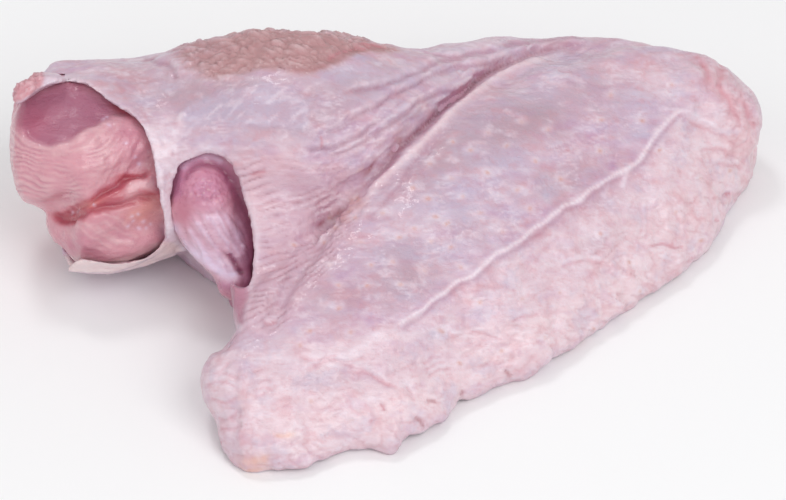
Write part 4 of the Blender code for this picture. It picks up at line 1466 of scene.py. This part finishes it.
class WingMeatSettings(PropertyGroup):
    """Sizes and colours of the meat"""

    fineness: size_setting("Fineness", "Size of the meat's small faces", 0.54)
    fibre_depth: size_setting("Fibre Depth", "Depth of the muscle's grain", 0.3)
    flesh: colour_setting("Flesh", "Main colour of the meat", rgb(216, 156, 168))
    # Deep: dark muscle, also painted as shade in the grooves of the fibres and pleats and under the lower
    # lobe.
    deep: colour_setting("Deep", "Dark muscle", rgb(184, 108, 132))
    lilac: colour_setting("Lilac", "Shaded hollow", rgb(164, 100, 124))
    crimson: colour_setting("Crimson", "Reddened muscle", rgb(178, 92, 116))
    mauve: colour_setting("Mauve", "Rounded muscle in the window", rgb(202, 138, 172))
    # Pale: sinew and stretched muscle, also painted as highlights on the fibres' crests and the bubbles,
    # and as light where the lobe and strip lie in shade.
    pale: colour_setting("Pale", "Sinew and stretched muscle", rgb(226, 186, 190))
    wall: colour_setting("Wall", "Shaded muscle round the window", rgb(174, 106, 142))
    fascia: colour_setting("Fascia", "White sheath", rgb(232, 214, 238))
    red: colour_setting("Red", "Blood-red folds", rgb(176, 72, 86))
    orange: colour_setting("Orange", "Warm patch of the lower lobe", rgb(222, 150, 140))
    fat_cream: colour_setting("Cream Fat", "Fat along the cut", rgb(226, 203, 200))
    # Dark: the dark red of the deepest gaps, which also stands for the shade in them.
    gap_shade: colour_setting("Dark", "Deepest gap", rgb(136, 60, 92))


class WingStageSettings(PropertyGroup):
    """The floor and the light"""

    floor_width: FloatProperty(
        name="Floor Width", description="Width of the floor", default=6, min=1, unit="LENGTH"
    )
    floor_colour: colour_setting("Floor Color", "Colour of the floor", rgb(245, 245, 246))
    light_power: FloatProperty(
        name="Light Power", description="Power of the main light", default=8.2, min=0, unit="POWER"
    )
    ambient: FloatProperty(
        name="Ambient Light", description="Strength of the light from all round", default=0.58, min=0
    )


class WING_OT_skin(Operator):
    """Build the skin with its folds, wrinkles, pores and tendon"""

    bl_idname = "wing.skin"
    bl_label = "Build Skin"

    def execute(self, context):
        make_skin(context.scene.wing_skin)
        return {"FINISHED"}


class WING_OT_meat(Operator):
    """Build the meat that shows at the shoulder cut and in the window"""

    bl_idname = "wing.meat"
    bl_label = "Build Meat"

    def execute(self, context):
        make_meat(context.scene.wing_meat)
        return {"FINISHED"}


class WING_OT_stage(Operator):
    """Set the floor, the lights and the camera"""

    bl_idname = "wing.stage"
    bl_label = "Build Stage"

    def execute(self, context):
        make_stage(context.scene.wing_stage)
        return {"FINISHED"}


class WING_PT_tools(Panel):
    """The wing's builders and their settings"""

    bl_idname = "WING_PT_tools"
    bl_label = "Turkey Wing"
    bl_space_type = "VIEW_3D"
    bl_region_type = "UI"
    bl_category = "Turkey Wing"

    def draw(self, context):
        scene = context.scene
        for part in ("skin", "meat", "stage"):
            settings = getattr(scene, "wing_" + part)
            box = self.layout.box()
            for name in settings.__annotations__:
                box.prop(settings, name)
            box.operator("wing." + part)


CLASSES = (
    WingSkinSettings,
    WingMeatSettings,
    WingStageSettings,
    WING_OT_skin,
    WING_OT_meat,
    WING_OT_stage,
    WING_PT_tools,
)


def register():
    """Makes the settings, builders and panel known to Blender."""
    for made in CLASSES:
        bpy.utils.register_class(made)
    bpy.types.Scene.wing_skin = PointerProperty(type=WingSkinSettings)
    bpy.types.Scene.wing_meat = PointerProperty(type=WingMeatSettings)
    bpy.types.Scene.wing_stage = PointerProperty(type=WingStageSettings)


def unregister():
    """Takes them away again."""
    del bpy.types.Scene.wing_skin
    del bpy.types.Scene.wing_meat
    del bpy.types.Scene.wing_stage
    for made in reversed(CLASSES):
        bpy.utils.unregister_class(made)


def main():
    """Builds the wing and its stage."""
    register()
    bpy.ops.wing.skin()
    bpy.ops.wing.meat()
    bpy.ops.wing.stage()


if __name__ == "__main__":
    main()
